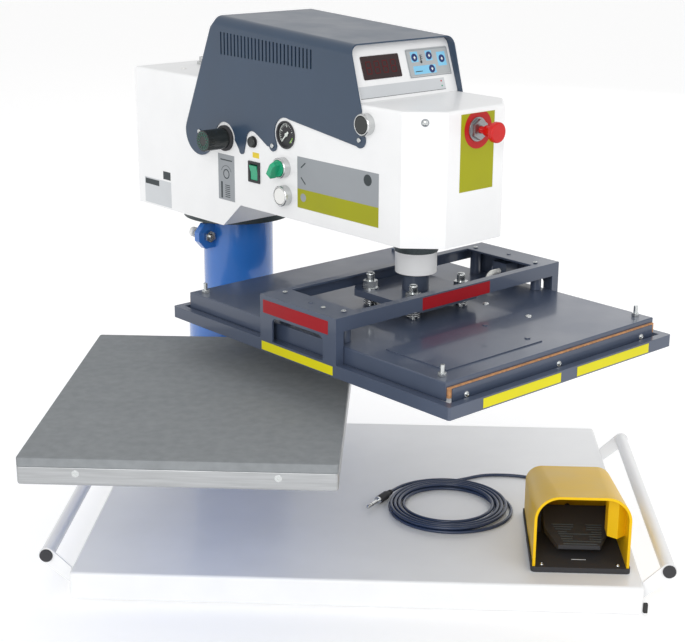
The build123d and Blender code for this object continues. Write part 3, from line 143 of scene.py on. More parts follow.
@dataclass(frozen=True)
class Finish:
    """One surface finish and the nodes that make it."""

    name: str
    colour: Triple
    roughness: float
    metallic: float = 0.0
    grain: Grain = Grain.MOULDED
    coat: float = 0.0
    bump: float = 0.15
    grain_mm: float = 0.6
    tint: float = 0.06
    glow: float = 0.0
    gloss: float = 0.5
    along: Triple = (1.0, 1.0, 1.0)

    def material(self) -> bpy.types.Material:
        """Return the finish's material, made once.

        Returns:
            The node material with this finish's name.
        """
        known = bpy.data.materials.get(self.name)
        if known is not None:
            return known
        material = bpy.data.materials.new(self.name)
        material.use_nodes = True
        tree = material.node_tree
        shader = tree.nodes["Principled BSDF"]
        put(shader, {"Metallic": self.metallic, "Coat Weight": self.coat,
                     "Coat Roughness": COAT_ROUGHNESS, "Specular IOR Level": self.gloss})
        if self.glow:
            put(shader, {"Emission Color": (*self.colour, 1.0), "Emission Strength": self.glow})
        wide = self._noise(tree, WIDE_SCALE, WIDE_DETAIL, (1.0, 1.0, 1.0))
        fine_scale = 1.0 / (self.grain_mm * MM) / GRAINS_A_CELL
        fine = self._noise(tree, fine_scale, FINE_DETAIL, self.along)
        by_grain = self.grain in COLOURED_BY_GRAIN
        self._colour(tree, shader, fine if by_grain else wide)
        self._roughness(tree, shader, wide)
        if self.bump:
            bump = tree.nodes.new("ShaderNodeBump")
            put(bump, {"Strength": self.bump, "Distance": self.grain_mm * MM * BUMP_SHARE})
            tree.links.new(fine.outputs["Fac"], bump.inputs["Height"])
            tree.links.new(bump.outputs["Normal"], shader.inputs["Normal"])
        return material

    @staticmethod
    def _noise(tree: Tree, scale: float, detail: float, along: Triple) -> Node:
        """Add a noise pattern on object coordinates.

        Args:
            tree: the material's node tree.
            scale: the pattern's scale, a metre.
            detail: its layers of detail.
            along: how it is stretched on each axis.

        Returns:
            The noise node.
        """
        where = tree.nodes.new("ShaderNodeTexCoord")
        mapping = tree.nodes.new("ShaderNodeMapping")
        put(mapping, {"Scale": along})
        noise = tree.nodes.new("ShaderNodeTexNoise")
        put(noise, {"Scale": scale, "Detail": detail})
        tree.links.new(where.outputs["Object"], mapping.inputs["Vector"])
        tree.links.new(mapping.outputs["Vector"], noise.inputs["Vector"])
        return noise

    def _colour(self, tree: Tree, shader: Node, source: Node) -> None:
        """Vary the base colour a little by a noise pattern.

        Args:
            tree: the material's node tree.
            shader: its shader.
            source: the noise node.
        """
        ramp = tree.nodes.new("ShaderNodeValToRGB")
        low = tuple(max(0.0, c * (1.0 - self.tint)) for c in self.colour)
        high = tuple(min(1.0, c * (1.0 + self.tint)) for c in self.colour)
        for element, place, colour in zip(ramp.color_ramp.elements, COLOUR_ENDS, (low, high)):
            element.position = place
            element.color = (*colour, 1.0)
        tree.links.new(source.outputs["Fac"], ramp.inputs["Fac"])
        tree.links.new(ramp.outputs["Color"], shader.inputs["Base Color"])

    def _roughness(self, tree: Tree, shader: Node, source: Node) -> None:
        """Let the gloss drift over the surface, as handling and cleaning leave it.

        Args:
            tree: the material's node tree.
            shader: its shader.
            source: the noise node.
        """
        spread = tree.nodes.new("ShaderNodeMapRange")
        put(spread, {"From Min": DRIFT_ENDS[0], "From Max": DRIFT_ENDS[1],
                     "To Min": max(LEAST_ROUGHNESS, self.roughness * DRIFT[0]),
                     "To Max": min(1.0, self.roughness * DRIFT[1])})
        tree.links.new(source.outputs["Fac"], spread.inputs["Value"])
        tree.links.new(spread.outputs["Result"], shader.inputs["Roughness"])


def enamel(name: str, colour: Triple, roughness: float, **more: float) -> Finish:
    """Return a sprayed coat with its fine orange peel."""
    return Finish(name, colour, roughness, grain=Grain.PEEL, **more)


def metal(name: str, colour: Triple, roughness: float, metallic: float = 1.0,
          **more: Union[float, Triple]) -> Finish:
    """Return a turned, brushed or plated metal."""
    return Finish(name, colour, roughness, metallic, grain=Grain.BRUSHED, **more)


def clean(name: str, colour: Triple, roughness: float, bump: float = 0.0,
          **more: float) -> Finish:
    """Return a smooth plastic, glass or lacquer."""
    return Finish(name, colour, roughness, grain=Grain.SMOOTH, bump=bump, **more)


def foil(name: str, colour: Triple, roughness: float = 0.4, tint: float = 0.03,
         **more: float) -> Finish:
    """Return a printed foil."""
    return clean(name, colour, roughness, 0.05, tint=tint, **more)


WHITE_COAT = enamel("white_powder_coat", (0.82, 0.825, 0.83), 0.34, grain_mm=0.9, bump=0.12,
                    tint=0.02, coat=0.15)
SLATE_COAT = enamel("slate_enamel", (0.024, 0.049, 0.090), 0.33, grain_mm=0.8, bump=0.14, coat=0.2)
HEATER_COAT = enamel("heater_enamel", (0.050, 0.068, 0.112), 0.36, grain_mm=0.8, bump=0.14,
                     coat=0.4)
BLUE_COAT = enamel("blue_enamel", (0.026, 0.150, 0.50), 0.22, grain_mm=1.1, bump=0.10, tint=0.05,
                   coat=0.5)
DARK_STEEL = metal("blackened_steel", (0.05, 0.065, 0.07), 0.42, 0.5, tint=0.15)
TURNED_STEEL = metal("turned_steel", (0.45, 0.46, 0.47), 0.28, along=(1.0, 1.0, 9.0), tint=0.1)
SLATE_ROD = enamel("rod_enamel", (0.06, 0.075, 0.11), 0.3, coat=0.2)
GREY_STEEL = metal("grey_steel", (0.33, 0.34, 0.35), 0.30, grain_mm=0.4, tint=0.12)
ZINC = metal("zinc_plating", (0.56, 0.58, 0.58), 0.24, grain_mm=0.4, tint=0.08)
NICKEL = metal("satin_nickel", (0.60, 0.61, 0.61), 0.22, grain_mm=0.3, tint=0.05)
SPRING_WIRE = metal("spring_wire", (0.58, 0.59, 0.60), 0.25, grain_mm=0.3)
MILLED = metal("milled_aluminium", (0.40, 0.41, 0.42), 0.36, 0.9, grain_mm=0.5,
               along=(0.04, 1.0, 1.0), tint=0.10)
BRONZE = metal("turned_bronze", (0.55, 0.38, 0.16), 0.3)
PAD_FOAM = Finish("silicone_foam", (0.225, 0.24, 0.25), 0.72, grain=Grain.FOAM, grain_mm=2.4,
                  bump=0.22, tint=0.07, gloss=0.3)
BLACK_RUBBER = Finish("black_rubber", (0.015, 0.015, 0.016), 0.6)
BLACK_PLASTIC = Finish("black_plastic", (0.006, 0.009, 0.010), 0.32, grain_mm=0.5, gloss=0.2)
# Lighter grey of the treadle's ribs: a painted highlight along their crests.
RIB_HIGHLIGHT = Finish("rib_highlight", (0.055, 0.065, 0.068), 0.35, grain_mm=0.5)
GLOSS_BLACK = clean("gloss_black", (0.004, 0.010, 0.010), 0.15, coat=0.08, gloss=0.2)
INSULATION = Finish("insulating_board", (0.50, 0.25, 0.11), 0.8, grain=Grain.FOAM, grain_mm=0.9,
                    tint=0.25)
WHITE_PLASTIC = clean("white_plastic", (0.82, 0.82, 0.80), 0.25, tint=0.02)
STRIP_GREY = foil("light_grey_foil", (0.56, 0.58, 0.60))
KEYPAD_GREY = foil("keypad_grey_foil", (0.40, 0.42, 0.43), 0.35)
KEY_BLUE = clean("key_light_blue", (0.22, 0.55, 0.78), 0.3, tint=0.02)
KEY_NAVY = clean("key_navy", (0.012, 0.025, 0.13), 0.3, tint=0.02)
DISPLAY = clean("display_filter", (0.020, 0.004, 0.005), 0.10, coat=0.2, tint=0.05, gloss=0.4)
DISPLAY_DIGIT = clean("display_segment", (0.085, 0.010, 0.012), 0.25, gloss=0.2)
GREEN_CLEAR = clean("green_clear", (0.002, 0.092, 0.054), 0.10, coat=0.3, tint=0.35, gloss=0.35)
# Green of the regulator's fluted rim: a painted sheen on the black knob.
GREEN_SHEEN = clean("green_sheen", (0.004, 0.085, 0.058), 0.15, coat=0.3)
RED_GLOSS = clean("red_gloss", (0.52, 0.006, 0.006), 0.16, coat=0.2, tint=0.05, gloss=0.3)
STOP_RED = foil("stop_disc_red", (0.44, 0.012, 0.013), 0.35, 0.08, gloss=0.25)
RED_FOIL = foil("red_foil", (0.31, 0.004, 0.010), tint=0.04, gloss=0.25)
YELLOW_FOIL = foil("yellow_foil", (0.66, 0.60, 0.003), gloss=0.25)
AMBER_FOIL = foil("amber_foil", (0.74, 0.56, 0.02))
LIME_FOIL = foil("lime_foil", (0.325, 0.33, 0.004), 0.42, gloss=0.25)
GREY_FOIL = foil("grey_foil", (0.28, 0.30, 0.32), 0.42)
DARK_FOIL = foil("dark_foil", (0.035, 0.045, 0.05), 0.42, gloss=0.3)
YELLOW_GLOSS = Finish("yellow_gloss", (0.80, 0.49, 0.005), 0.36, grain_mm=1.2, bump=0.06,
                      coat=0.05, tint=0.04, gloss=0.18)
LIGHT_MARK = clean("light_mark", (0.75, 0.80, 0.76), 0.4, tint=0.02)
GREEN_MARK = clean("green_mark", (0.25, 0.50, 0.05), 0.4, tint=0.02)
NAVY_JACKET = Finish("navy_jacket", (0.020, 0.036, 0.085), 0.30, grain_mm=0.5, bump=0.08,
                     coat=0.15)
BRAIDED = Finish("braided_sleeve", (0.86, 0.86, 0.82), 0.75, grain=Grain.BRAID, grain_mm=0.5,
                 bump=0.5, tint=0.12)
BOARD_GREEN = clean("circuit_board", (0.015, 0.12, 0.05), 0.4, 0.15)
FLOOR = clean("pale_floor", (0.88, 0.88, 0.88), 0.7, tint=0.005, glow=0.30)


def linked(name: str, data: bpy.types.ID) -> Piece:
    """Return a new object of the scene that shows some data."""
    made = bpy.data.objects.new(name, data)
    bpy.context.scene.collection.objects.link(made)
    return made


def facing(axis: Triple) -> Matrix:
    """Return the turn that takes +Z to an axis."""
    return Vector(axis).to_track_quat("Z", "Y").to_matrix().to_4x4()


def rounded(part: Mesh, width: float, segments: int, least: float) -> None:
    """Bevel a mesh's sharp edges.

    Args:
        part: the mesh.
        width: the bevel's width.
        segments: the steps in each bevel.
        least: the angle in degrees past which an edge is sharp.
    """
    sharp = [edge for edge in part.edges
             if len(edge.link_faces) == 2 and edge.calc_face_angle(0.0) > math.radians(least)]
    if width > 0 and sharp:
        bmesh.ops.bevel(part, geom=sharp, offset=width, segments=segments, profile=0.5,
                        affect="EDGES", clamp_overlap=True, material=-1)


class Shape:
    """A mesh in the making, in millimetres."""

    def __init__(self) -> None:
        """Start empty."""
        self.mesh = bmesh.new()

    def _take(self, part: Mesh, place: Matrix = WORLD) -> "Shape":
        """Move a part to its place and add it.

        Args:
            part: the part's mesh, which is freed.
            place: where its own axes stand.

        Returns:
            This shape.
        """
        part.transform(place)
        bmesh.ops.recalc_face_normals(part, faces=part.faces)
        carrier = bpy.data.meshes.new("carrier")
        part.to_mesh(carrier)
        part.free()
        self.mesh.from_mesh(carrier)
        bpy.data.meshes.remove(carrier)
        return self

    def box(self, low: Triple, high: Triple, rounding: float = 0.0, segments: int = 2) -> "Shape":
        """Add a block between two corners.

        Args:
            low: its lowest corner.
            high: its highest corner.
            rounding: the radius of its edges.
            segments: the steps in each rounded edge.

        Returns:
            This shape.
        """
        part = bmesh.new()
        bmesh.ops.create_cube(part, size=1.0)
        size = [b - a for a, b in zip(low, high)]
        middle = [(a + b) / 2 for a, b in zip(low, high)]
        part.transform(Matrix.Translation(middle) @ Matrix.Diagonal((*size, 1.0)))
        rounded(part, rounding, segments, 40.0)
        return self._take(part)

    def rod(self, start: Triple, axis: Triple, radius: float, length: float,
            rounding: float) -> "Shape":
        """Add a round bar from a point along an axis.

        Args:
            start: the middle of its first face.
            axis: the way it runs.
            radius: its radius.
            length: its length.
            rounding: the radius of its rims.

        Returns:
            This shape.
        """
        part = bmesh.new()
        bmesh.ops.create_cone(part, cap_ends=True, segments=ROD_SIDES, radius1=radius,
                              radius2=radius, depth=length)
        part.transform(Matrix.Translation((0, 0, length / 2)))
        rounded(part, rounding, 3, 50.0)
        return self._take(part, Matrix.Translation(start) @ facing(axis))

    def turned(self, start: Triple, axis: Triple, profile: Profile, steps: int = 48) -> "Shape":
        """Add a body turned round an axis.

        Args:
            start: where the axis starts.
            axis: the way it runs.
            profile: radius and height pairs, from the start on.
            steps: the steps round it.

        Returns:
            This shape.
        """
        part = bmesh.new()
        corners = [part.verts.new((radius, 0.0, height)) for radius, height in profile]
        edges = [part.edges.new(pair) for pair in zip(corners, corners[1:])]
        bmesh.ops.spin(part, geom=corners + edges, cent=(0, 0, 0), axis=UP, angle=math.tau,
                       steps=steps, use_merge=True, use_duplicate=False)
        bmesh.ops.remove_doubles(part, verts=part.verts, dist=WELD_MM)
        return self._take(part, Matrix.Translation(start) @ facing(axis))

    def prism(self, outline: Sequence[Pair], low: float, high: float,
              rounding: float = 0.0) -> "Shape":
        """Add a plate with an outline in X and Y, between two heights.

        Args:
            outline: the corners in order.
            low: the height of its underside.
            high: the height of its top.
            rounding: the radius of its edges.

        Returns:
            This shape.
        """
        part = bmesh.new()
        face = part.faces.new([part.verts.new((x, y, low)) for x, y in outline])
        grown = bmesh.ops.extrude_face_region(part, geom=[face])
        tops = [v for v in grown["geom"] if isinstance(v, bmesh.types.BMVert)]
        bmesh.ops.translate(part, verts=tops, vec=(0, 0, high - low))
        rounded(part, rounding, 2, 40.0)
        return self._take(part)

    def arc_strip(self, centre: Pair, radii: Pair, angles: Pair, low: float, high: float,
                  steps: int = 16) -> "Shape":
        """Add a flat curved strip, as on a dial.

        Args:
            centre: the middle of the arc.
            radii: its inner and outer radius.
            angles: its first and last angle in degrees.
            low: the height of its underside.
            high: the height of its top.
            steps: the steps along it.

        Returns:
            This shape.
        """
        start, end = angles
        if end - start >= 360.0:
            middle = start + 180.0
            self.arc_strip(centre, radii, (start, middle), low, high, steps)
            return self.arc_strip(centre, radii, (middle, start + 360.0), low, high, steps)

        def point(radius: float, share: float) -> Pair:
            """Return the corner at a share of the arc."""
            turn = math.radians(start + (end - start) * share)
            return centre[0] + radius * math.cos(turn), centre[1] + radius * math.sin(turn)

        there = [point(radii[1], index / steps) for index in range(steps + 1)]
        back = [point(radii[0], index / steps) for index in range(steps, -1, -1)]
        return self.prism(there + back, low, high)

    def build(self, name: str, finish: Finish, body: str, slot: str, place: Matrix = WORLD,
              replaces: Iterable[str] = ()) -> Piece:
        """Make the piece, dress it and let it ride on its body.

        Args:
            name: the piece's name.
            finish: its finish.
            body: the CAD body that carries it.
            slot: not used.
            place: where its own axes stand, in millimetres.
            replaces: the CAD nodes that it stands for.

        Returns:
            The finished object.
        """
        self.mesh.transform(Matrix.Scale(MM, 4) @ place)
        data = bpy.data.meshes.new(name)
        self.mesh.to_mesh(data)
        self.mesh.free()
        return settle(name, data, finish, body, replaces)


def laid(rects: Iterable[Rect], low: float, high: float, rounding: float = 0.0) -> Shape:
    """Lay thin rectangles between two heights.

    Args:
        rects: the lowest and highest corner of each.
        low: the height of their undersides.
        high: the height of their tops.
        rounding: the radius of their edges.

    Returns:
        The shape that holds them.
    """
    shape = Shape()
    for near, far in rects:
        shape.box((*near, low), (*far, high), rounding)
    return shape


def spoke(middle: Pair, angle: float, radii: Pair, half: float) -> List[Pair]:
    """Return the corners of a bar that points away from a middle.

    Args:
        middle: the point that it points away from.
        angle: its direction in radians.
        radii: where it starts and ends.
        half: half its width.

    Returns:
        Its four corners in order.
    """
    along = Vector((math.cos(angle), math.sin(angle)))
    side = Vector((-along.y, along.x)) * half
    inner, outer = radii
    corners = (along * inner - side, along * outer - side, along * outer + side,
               along * inner + side)
    return [(middle[0] + c.x, middle[1] + c.y) for c in corners]


def settle(name: str, data: bpy.types.Mesh, finish: Finish, body: str,
           replaces: Iterable[str] = ()) -> Piece:
    """Give a finished mesh its object, shading, material and body.

    Args:
        name: the piece's name.
        data: the mesh in metres.
        finish: its finish.
        body: the CAD body that carries it.
        replaces: the CAD nodes that it stands for.

    Returns:
        The object, riding on its body.
    """
    for polygon in data.polygons:
        polygon.use_smooth = True
    data.set_sharp_from_angle(angle=math.radians(SHARP_PAST))
    data.materials.append(finish.material())
    piece = linked(name, data)
    weighted = piece.modifiers.new("even_shading", "WEIGHTED_NORMAL")
    weighted.keep_sharp = True
    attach(piece, body)
    for node in replaces:
        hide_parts(node)
    LOG.info("piece %s on %s", name, body)
    return piece


def slot_of(node: str) -> str:
    """Return the record's material slot of a CAD node."""
    slots = {entry["node"]: entry["material_slot"] for entry in frame["record"]["subparts"]}
    return slots[node]


def islands(part: Mesh) -> List[set]:
    """Part a mesh into its separate solids.

    Args:
        part: the mesh.

    Returns:
        The set of vertices of each solid.
    """
    left = set(part.verts)
    found = []
    while left:
        seed = left.pop()
        group, edge_of = {seed}, [seed]
        while edge_of:
            here = edge_of.pop()
            for edge in here.link_edges:
                other = edge.other_vert(here)
                if other in left:
                    left.discard(other)
                    group.add(other)
                    edge_of.append(other)
        found.append(group)
    return found


def dressed(node: str, finish: Finish, body: str, rounding: float, name: str = "",
            keep: Optional[Callable[[Vector], bool]] = None,
            segments: int = 2) -> Piece:
    """Make a rounded, dressed copy of a CAD node, which it replaces.

    Args:
        node: the CAD node.
        finish: its finish.
        body: the CAD body that carries it.
        rounding: the radius of its edges in millimetres.
        name: the piece's name, by default the node's with _skin.
        keep: says by a solid's middle, in millimetres, whether it belongs to this piece.
        segments: the steps in each rounded edge.

    Returns:
        The piece.
    """
    source = frame["nodes"][node]
    source = bpy.data.objects[source] if isinstance(source, str) else source
    part = bmesh.new()
    part.from_mesh(source.data)
    bmesh.ops.remove_doubles(part, verts=part.verts, dist=WELD_M)
    if keep is not None:
        for group in islands(part):
            middle = sum((v.co for v in group), Vector()) / len(group)
            if not keep(middle / MM):
                bmesh.ops.delete(part, geom=list(group), context="VERTS")
    if rounding > 0:
        bmesh.ops.dissolve_limit(part, angle_limit=math.radians(FLAT_WITHIN),
                                 use_dissolve_boundaries=False, verts=part.verts,
                                 edges=part.edges)
        rounded(part, rounding * MM, segments, BEVEL_PAST)
    name = name or node + "_skin"
    data = bpy.data.meshes.new(name)
    part.to_mesh(data)
    part.free()
    return settle(name, data, finish, body, (node,))


def dressed_all(body: str, rows: Iterable[Tuple[str, Finish, float]]) -> None:
    """Dress several nodes of a body, each with its finish and its edges' radius."""
    for node, finish, rounding in rows:
        dressed(node, finish, body, rounding)


def pressed(spring: Piece, keep: float) -> None:
    """Give a standing spring a mesh of its own.

    Args:
        spring: the spring's piece.
        keep: not used.
    """
    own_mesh(spring)


def to_arm(point: Vector) -> Vector:
    """Return a point of the frame in the arm's own axes, in millimetres."""
    return ARM.inverted() @ point


@dataclass
class Studio:
    """The camera at the photograph's place, the floor and the soft lights."""

    focal_px: float = 1425.02
    width_px: float = 685.0
    sensor: float = 36.0
    clip_end: float = 60.0
    pitch: float = 17.23
    yaw: float = -2.708
    roll: float = 0.252
    place: Triple = (280.39, -2275.83, 971.52)
    floor_reach: float = 30.0
    surroundings: float = 0.78
    aim: Triple = (0.25, -0.3, 0.35)
    boxes: Tuple[Tuple[str, Triple, float, float], ...] = (
        ("key_box", (-0.5, -4.4, 2.2), 2.2, 72.0), ("fill_box", (2.8, -2.8, 1.7), 2.2, 14.0),
        ("top_box", (0.3, 0.3, 3.2), 3.0, 4.0), ("back_box", (2.2, 3.6, 1.9), 3.0, 16.0))

    def build(self) -> None:
        """Make the camera, the floor and the lights."""
        self.camera()
        self.floor()
        self.lights()

    def camera(self) -> None:
        """Stand the camera where the photograph was taken from."""
        pitch, yaw, roll = (math.radians(a) for a in (self.pitch, self.yaw, self.roll))
        ahead = Vector((math.sin(yaw) * math.cos(pitch), math.cos(yaw) * math.cos(pitch),
                        -math.sin(pitch)))
        right = Vector((math.cos(yaw), -math.sin(yaw), 0.0))
        up = right.cross(ahead)
        side = math.cos(roll) * right + math.sin(roll) * up
        top = -math.sin(roll) * right + math.cos(roll) * up
        data = bpy.data.cameras.new("photo_camera")
        data.sensor_width = self.sensor
        data.lens = self.focal_px * self.sensor / self.width_px
        data.clip_end = self.clip_end
        camera = linked("photo_camera", data)
        turn = Matrix((side, top, -ahead)).transposed().to_4x4()
        camera.matrix_world = Matrix.Translation(Vector(self.place) * MM) @ turn
        bpy.context.scene.camera = camera

    def floor(self) -> None:
        """Lay the pale floor."""
        part = bmesh.new()
        bmesh.ops.create_grid(part, x_segments=1, y_segments=1, size=self.floor_reach)
        data = bpy.data.meshes.new("floor")
        part.to_mesh(data)
        part.free()
        data.materials.append(FLOOR.material())
        floor = linked("floor", data)

    def lights(self) -> None:
        """Hang the soft boxes and light the surroundings."""
        world = bpy.data.worlds.new("studio")
        bpy.context.scene.world = world
        world.use_nodes = True
        put(world.node_tree.nodes["Background"],
            {"Color": (1.0, 1.0, 1.0, 1.0), "Strength": self.surroundings})
        bpy.context.scene.view_settings.view_transform = "Standard"
        for name, place, size, power in self.boxes:
            data = bpy.data.lights.new(name, "AREA")
            data.shape = "SQUARE"
            data.size = size
            data.energy = power
            lamp = linked(name, data)
            lamp.visible_camera = False
            lamp.location = place
            look = Vector(self.aim) - Vector(place)
            lamp.rotation_euler = look.to_track_quat("-Z", "Y").to_euler()


@dataclass
class PedalCord:
    """The pedal's cord: the free stretch, the coil on the base, and its plug."""

    radius: float = 2.5
    centre: Pair = (348.0, -253.0)
    start_angle: float = 112.0
    loose_angle: float = 350.0
    end_angle: float = 150.0
    halves: Pair = (80.0, 260.0)
    outer: float = 88.5
    loose: float = 98.5
    first_drop: float = 5.5
    drops: Tuple[float, ...] = (2.0, 4.0, 2.0, 4.0)
    climb_drop: float = 6.0
    climb_rise: float = 1.5
    top_half_turns: int = 7
    pitch: float = 6.2
    layer_step: float = 5.9
    exit_radius: float = 98.0
    sleeve_radius: float = 6.3
    points_a_turn: int = 24
    length: float = 3.907
    gland: Triple = (530.0, -248.0, 58.3)
    bend: Tuple[Pair, ...] = ((527, -164), (511, -145), (487, -132), (463, -125), (438, -123),
                              (414, -125))
    approach: Tuple[Pair, ...] = ((86, 5.7), (66, 2.2), (43, 0.6), (20, 0.0))
    ribs: int = 5
    collar_at: float = 38.2
    pin_at: float = 42.0
    band_at: float = 59.0
    pin: Profile = ((0.0, 0.0), (3.2, 0.0), (3.2, 22.0), (2.9, 22.6), (2.5, 23.4), (2.5, 24.0),
                    (3.1, 25.4), (3.1, 26.2), (2.4, 28.4), (1.0, 29.8), (0.0, 30.0))
    band: Profile = ((2.9, 0.0), (3.22, 0.0), (3.22, 1.2), (2.9, 1.2))

    def stops(self) -> List[Triple]:
        """Find where two bends of the coil meet.

        Returns:
            The angle, radius and height of each such place.
        """
        low = BASE_TOP + self.radius
        high = low + self.layer_step
        first, second = self.halves
        stops = [(self.start_angle, self.outer, low), (second, self.outer, low),
                 (self.loose_angle, self.loose, low)]
        radius = self.outer - self.first_drop
        for index, drop in enumerate(self.drops):
            stops.append((self.halves[index % 2], radius, low))
            radius -= drop
        stops.append((first, radius, low))
        stops.append((second, radius - self.climb_drop, high))
        radius += self.climb_rise
        for index in range(self.top_half_turns):
            stops.append((self.halves[index % 2], radius, high))
            radius += self.pitch / 2
        stops.append((self.end_angle, self.exit_radius, BASE_TOP + self.sleeve_radius + 0.2))
        return stops

    def at(self, angle: float, radius: float, height: float) -> Vector:
        """Return the point of the coil at an angle, radius and height."""
        turn = math.radians(angle)
        x, y = self.centre
        return Vector((x + radius * math.cos(turn), y + radius * math.sin(turn), height))

    @staticmethod
    def way(angle: float) -> Vector:
        """Return the way that the coil runs at an angle."""
        turn = math.radians(angle)
        return Vector((-math.sin(turn), math.cos(turn), 0.0))

    def coil_points(self) -> List[Vector]:
        """Go round the coil's loops.

        Returns:
            Its control points.
        """
        stops = self.stops()
        step = 360.0 / self.points_a_turn
        spread = 1.0 / (0.75 + 0.25 * math.cos(math.radians(step)))
        points = [self.at(*stops[0])]
        for (a0, r0, z0), (a1, r1, z1) in zip(stops, stops[1:]):
            sweep = (a1 - a0) % 360.0
            count = max(3, round(sweep / step))
            for index in range(1, count + 1):
                share = index / count
                ease = (1.0 - math.cos(math.pi * share)) / 2.0
                radius = (r0 + (r1 - r0) * ease) * spread
                points.append(self.at(a0 + sweep * share, radius, z0 + (z1 - z0) * ease))
        return points

    def lead_points(self) -> List[Vector]:
        """Go from the gland along the base to the coil's start.

        Returns:
            The free stretch's control points.
        """
        way = self.way(self.start_angle)
        aside = Vector((way.y, -way.x, 0.0))
        end = self.at(*self.stops()[0]) - way * (2.0 * self.radius)
        x, rear, height = self.gland
        low = BASE_TOP + self.radius
        points = [Vector(p) for p in ((x, rear, height), (x, rear + 14, height),
                                      (x, rear + 34, low + 2), (x - 1, rear + 58, low))]
        points += [Vector((*place, low)) for place in self.bend]
        points += [end - way * back + aside * off for back, off in self.approach]
        return points

    def build(self) -> None:
        """Lay the cord and its plug."""
        coil = self.coil_points()
        way = self.way(self.end_angle)
        start = self.at(*self.stops()[-1])
        end = start + way * (2.0 * self.radius)
        points = self.lead_points() + coil[:-1] + [start, end]
        data = bpy.data.curves.new("pedal_cord", "CURVE")
        data.dimensions = "3D"
        data.bevel_depth = self.radius * MM
        data.bevel_resolution = 5
        data.resolution_u = 6
        data.use_fill_caps = True
        line = data.splines.new("NURBS")
        line.points.add(len(points) - 1)
        for control, point in zip(line.points, points):
            control.co = (*(point * MM), 1.0)
        line.order_u = 3
        line.use_endpoint_u = True
        data.materials.append(NAVY_JACKET.material())
        cord = linked("pedal_cord", data)
        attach(cord, "base")
        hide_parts("cord_lead", "cord_coil")
        plug = self.plug(end, way)

    def plug(self, end: Vector, way: Vector) -> List[Piece]:
        """Make the jack plug's sleeve, collar and pin.

        Args:
            end: where the cord ends.
            way: the way that it runs there.

        Returns:
            The plug's pieces.
        """
        r, top = self.sleeve_radius, self.collar_at
        axis = tuple(way)
        sleeve = Shape().turned(tuple(end), axis, [
            (0.0, 0.2), (3.0, 0.0), (3.3, 0.6), (3.6, 5.0), (4.4, 9.5), (r - 0.8, 13.0),
            (r - 0.1, 15.0), (r, 18.0), (r, 37.0), (r - 0.5, top), (0.0, top)])
        for index in range(self.ribs):
            grow = index * 0.22
            sleeve.turned(tuple(end + way * (2.0 + index * 2.0)), axis, [
                (2.0, 0.0), (3.7 + grow, 0.2), (3.9 + grow, 0.6), (3.7 + grow, 1.0), (2.0, 1.2)])
        collar = Shape().turned(tuple(end + way * self.collar_at), axis, [
            (0.0, 0.0), (r - 0.9, 0.0), (r - 0.5, 0.4), (r - 0.5, 3.2), (r - 1.1, 3.8),
            (0.0, 3.8)])
        pin = Shape().turned(tuple(end + way * self.pin_at), axis, self.pin)
        band = Shape().turned(tuple(end + way * self.band_at), axis, self.band)
        return [sleeve.build("jack_sleeve", BLACK_PLASTIC, "base", "black_plastic",
                             replaces=("jack_plug",)),
                collar.build("jack_collar", NICKEL, "base", "nickel"),
                pin.build("jack_pin", NICKEL, "base", "nickel"),
                band.build("jack_band", BLACK_PLASTIC, "base", "black_plastic")]


@dataclass
class Base:
    """The white tray with its feet, handles and dark edge bar."""

    bar_low: Triple = (614.0, -496.0, 3.4)
    bar_high: Triple = (620.2, -490.5, 18.2)
    bar_rounding: float = 1.4

    def build(self) -> None:
        """Dress the tray and what is fixed to its sides."""
        dressed("base_tray", WHITE_COAT, "base", 0.4)
        dressed("rubber_feet", BLACK_RUBBER, "base", 0.0)
        dressed("side_handles", WHITE_COAT, "base", 0.6)
        dressed("handle_caps", BLACK_PLASTIC, "base", 1.6, segments=4)
        bar = Shape().box(self.bar_low, self.bar_high, self.bar_rounding, 3)
        bar.build("edge_bar", BLACK_RUBBER, "base", "black_rubber")


@dataclass
class Column:
    """The blue column, its pedestal, bearings and stops."""

    buffer_above: float = 300.0
    buffer_behind: float = -20.0

    def build(self) -> None:
        """Dress the column's pieces."""
        dressed("column_foot", BLUE_COAT, "base", 1.0)
        dressed("column_tube", BLUE_COAT, "base", 0.8)
        buffer = self.is_buffer
        dressed("column_fasteners", ZINC, "base", 0.5, "column_bolts", lambda p: not buffer(p))
        dressed("column_fasteners", WHITE_PLASTIC, "base", 0.3, "stop_buffer", buffer)
        dressed("column_bushes", BRONZE, "base", 0.4)

    def is_buffer(self, middle: Vector) -> bool:
        """Say whether a fastener's middle is the stop bolt's buffer."""
        here = to_arm(middle)
        return here.z > self.buffer_above and here.x < self.buffer_behind


@dataclass
class Table:
    """The lower table with its pad."""

    front: float = -666.5
    screw_x: float = 126.0
    screw_z: float = 267.5
    screw: Profile = ((0.0, 0.04), (1.4, 0.04), (1.6, 0.14), (4.3, 0.14), (4.7, 0.0), (0.0, -0.3))

    def build(self) -> None:
        """Dress the table and the pad, and set the two screws in the front face."""
        dressed("lower_table", MILLED, "base", 1.2)
        dressed("lower_pad", PAD_FOAM, "base", 0.6)
        screws = Shape()
        for x in (-self.screw_x, self.screw_x):
            screws.turned((x, self.front, self.screw_z), (0, -1, 0), self.screw)
        screws.build("table_screws", ZINC, "base", "zinc")


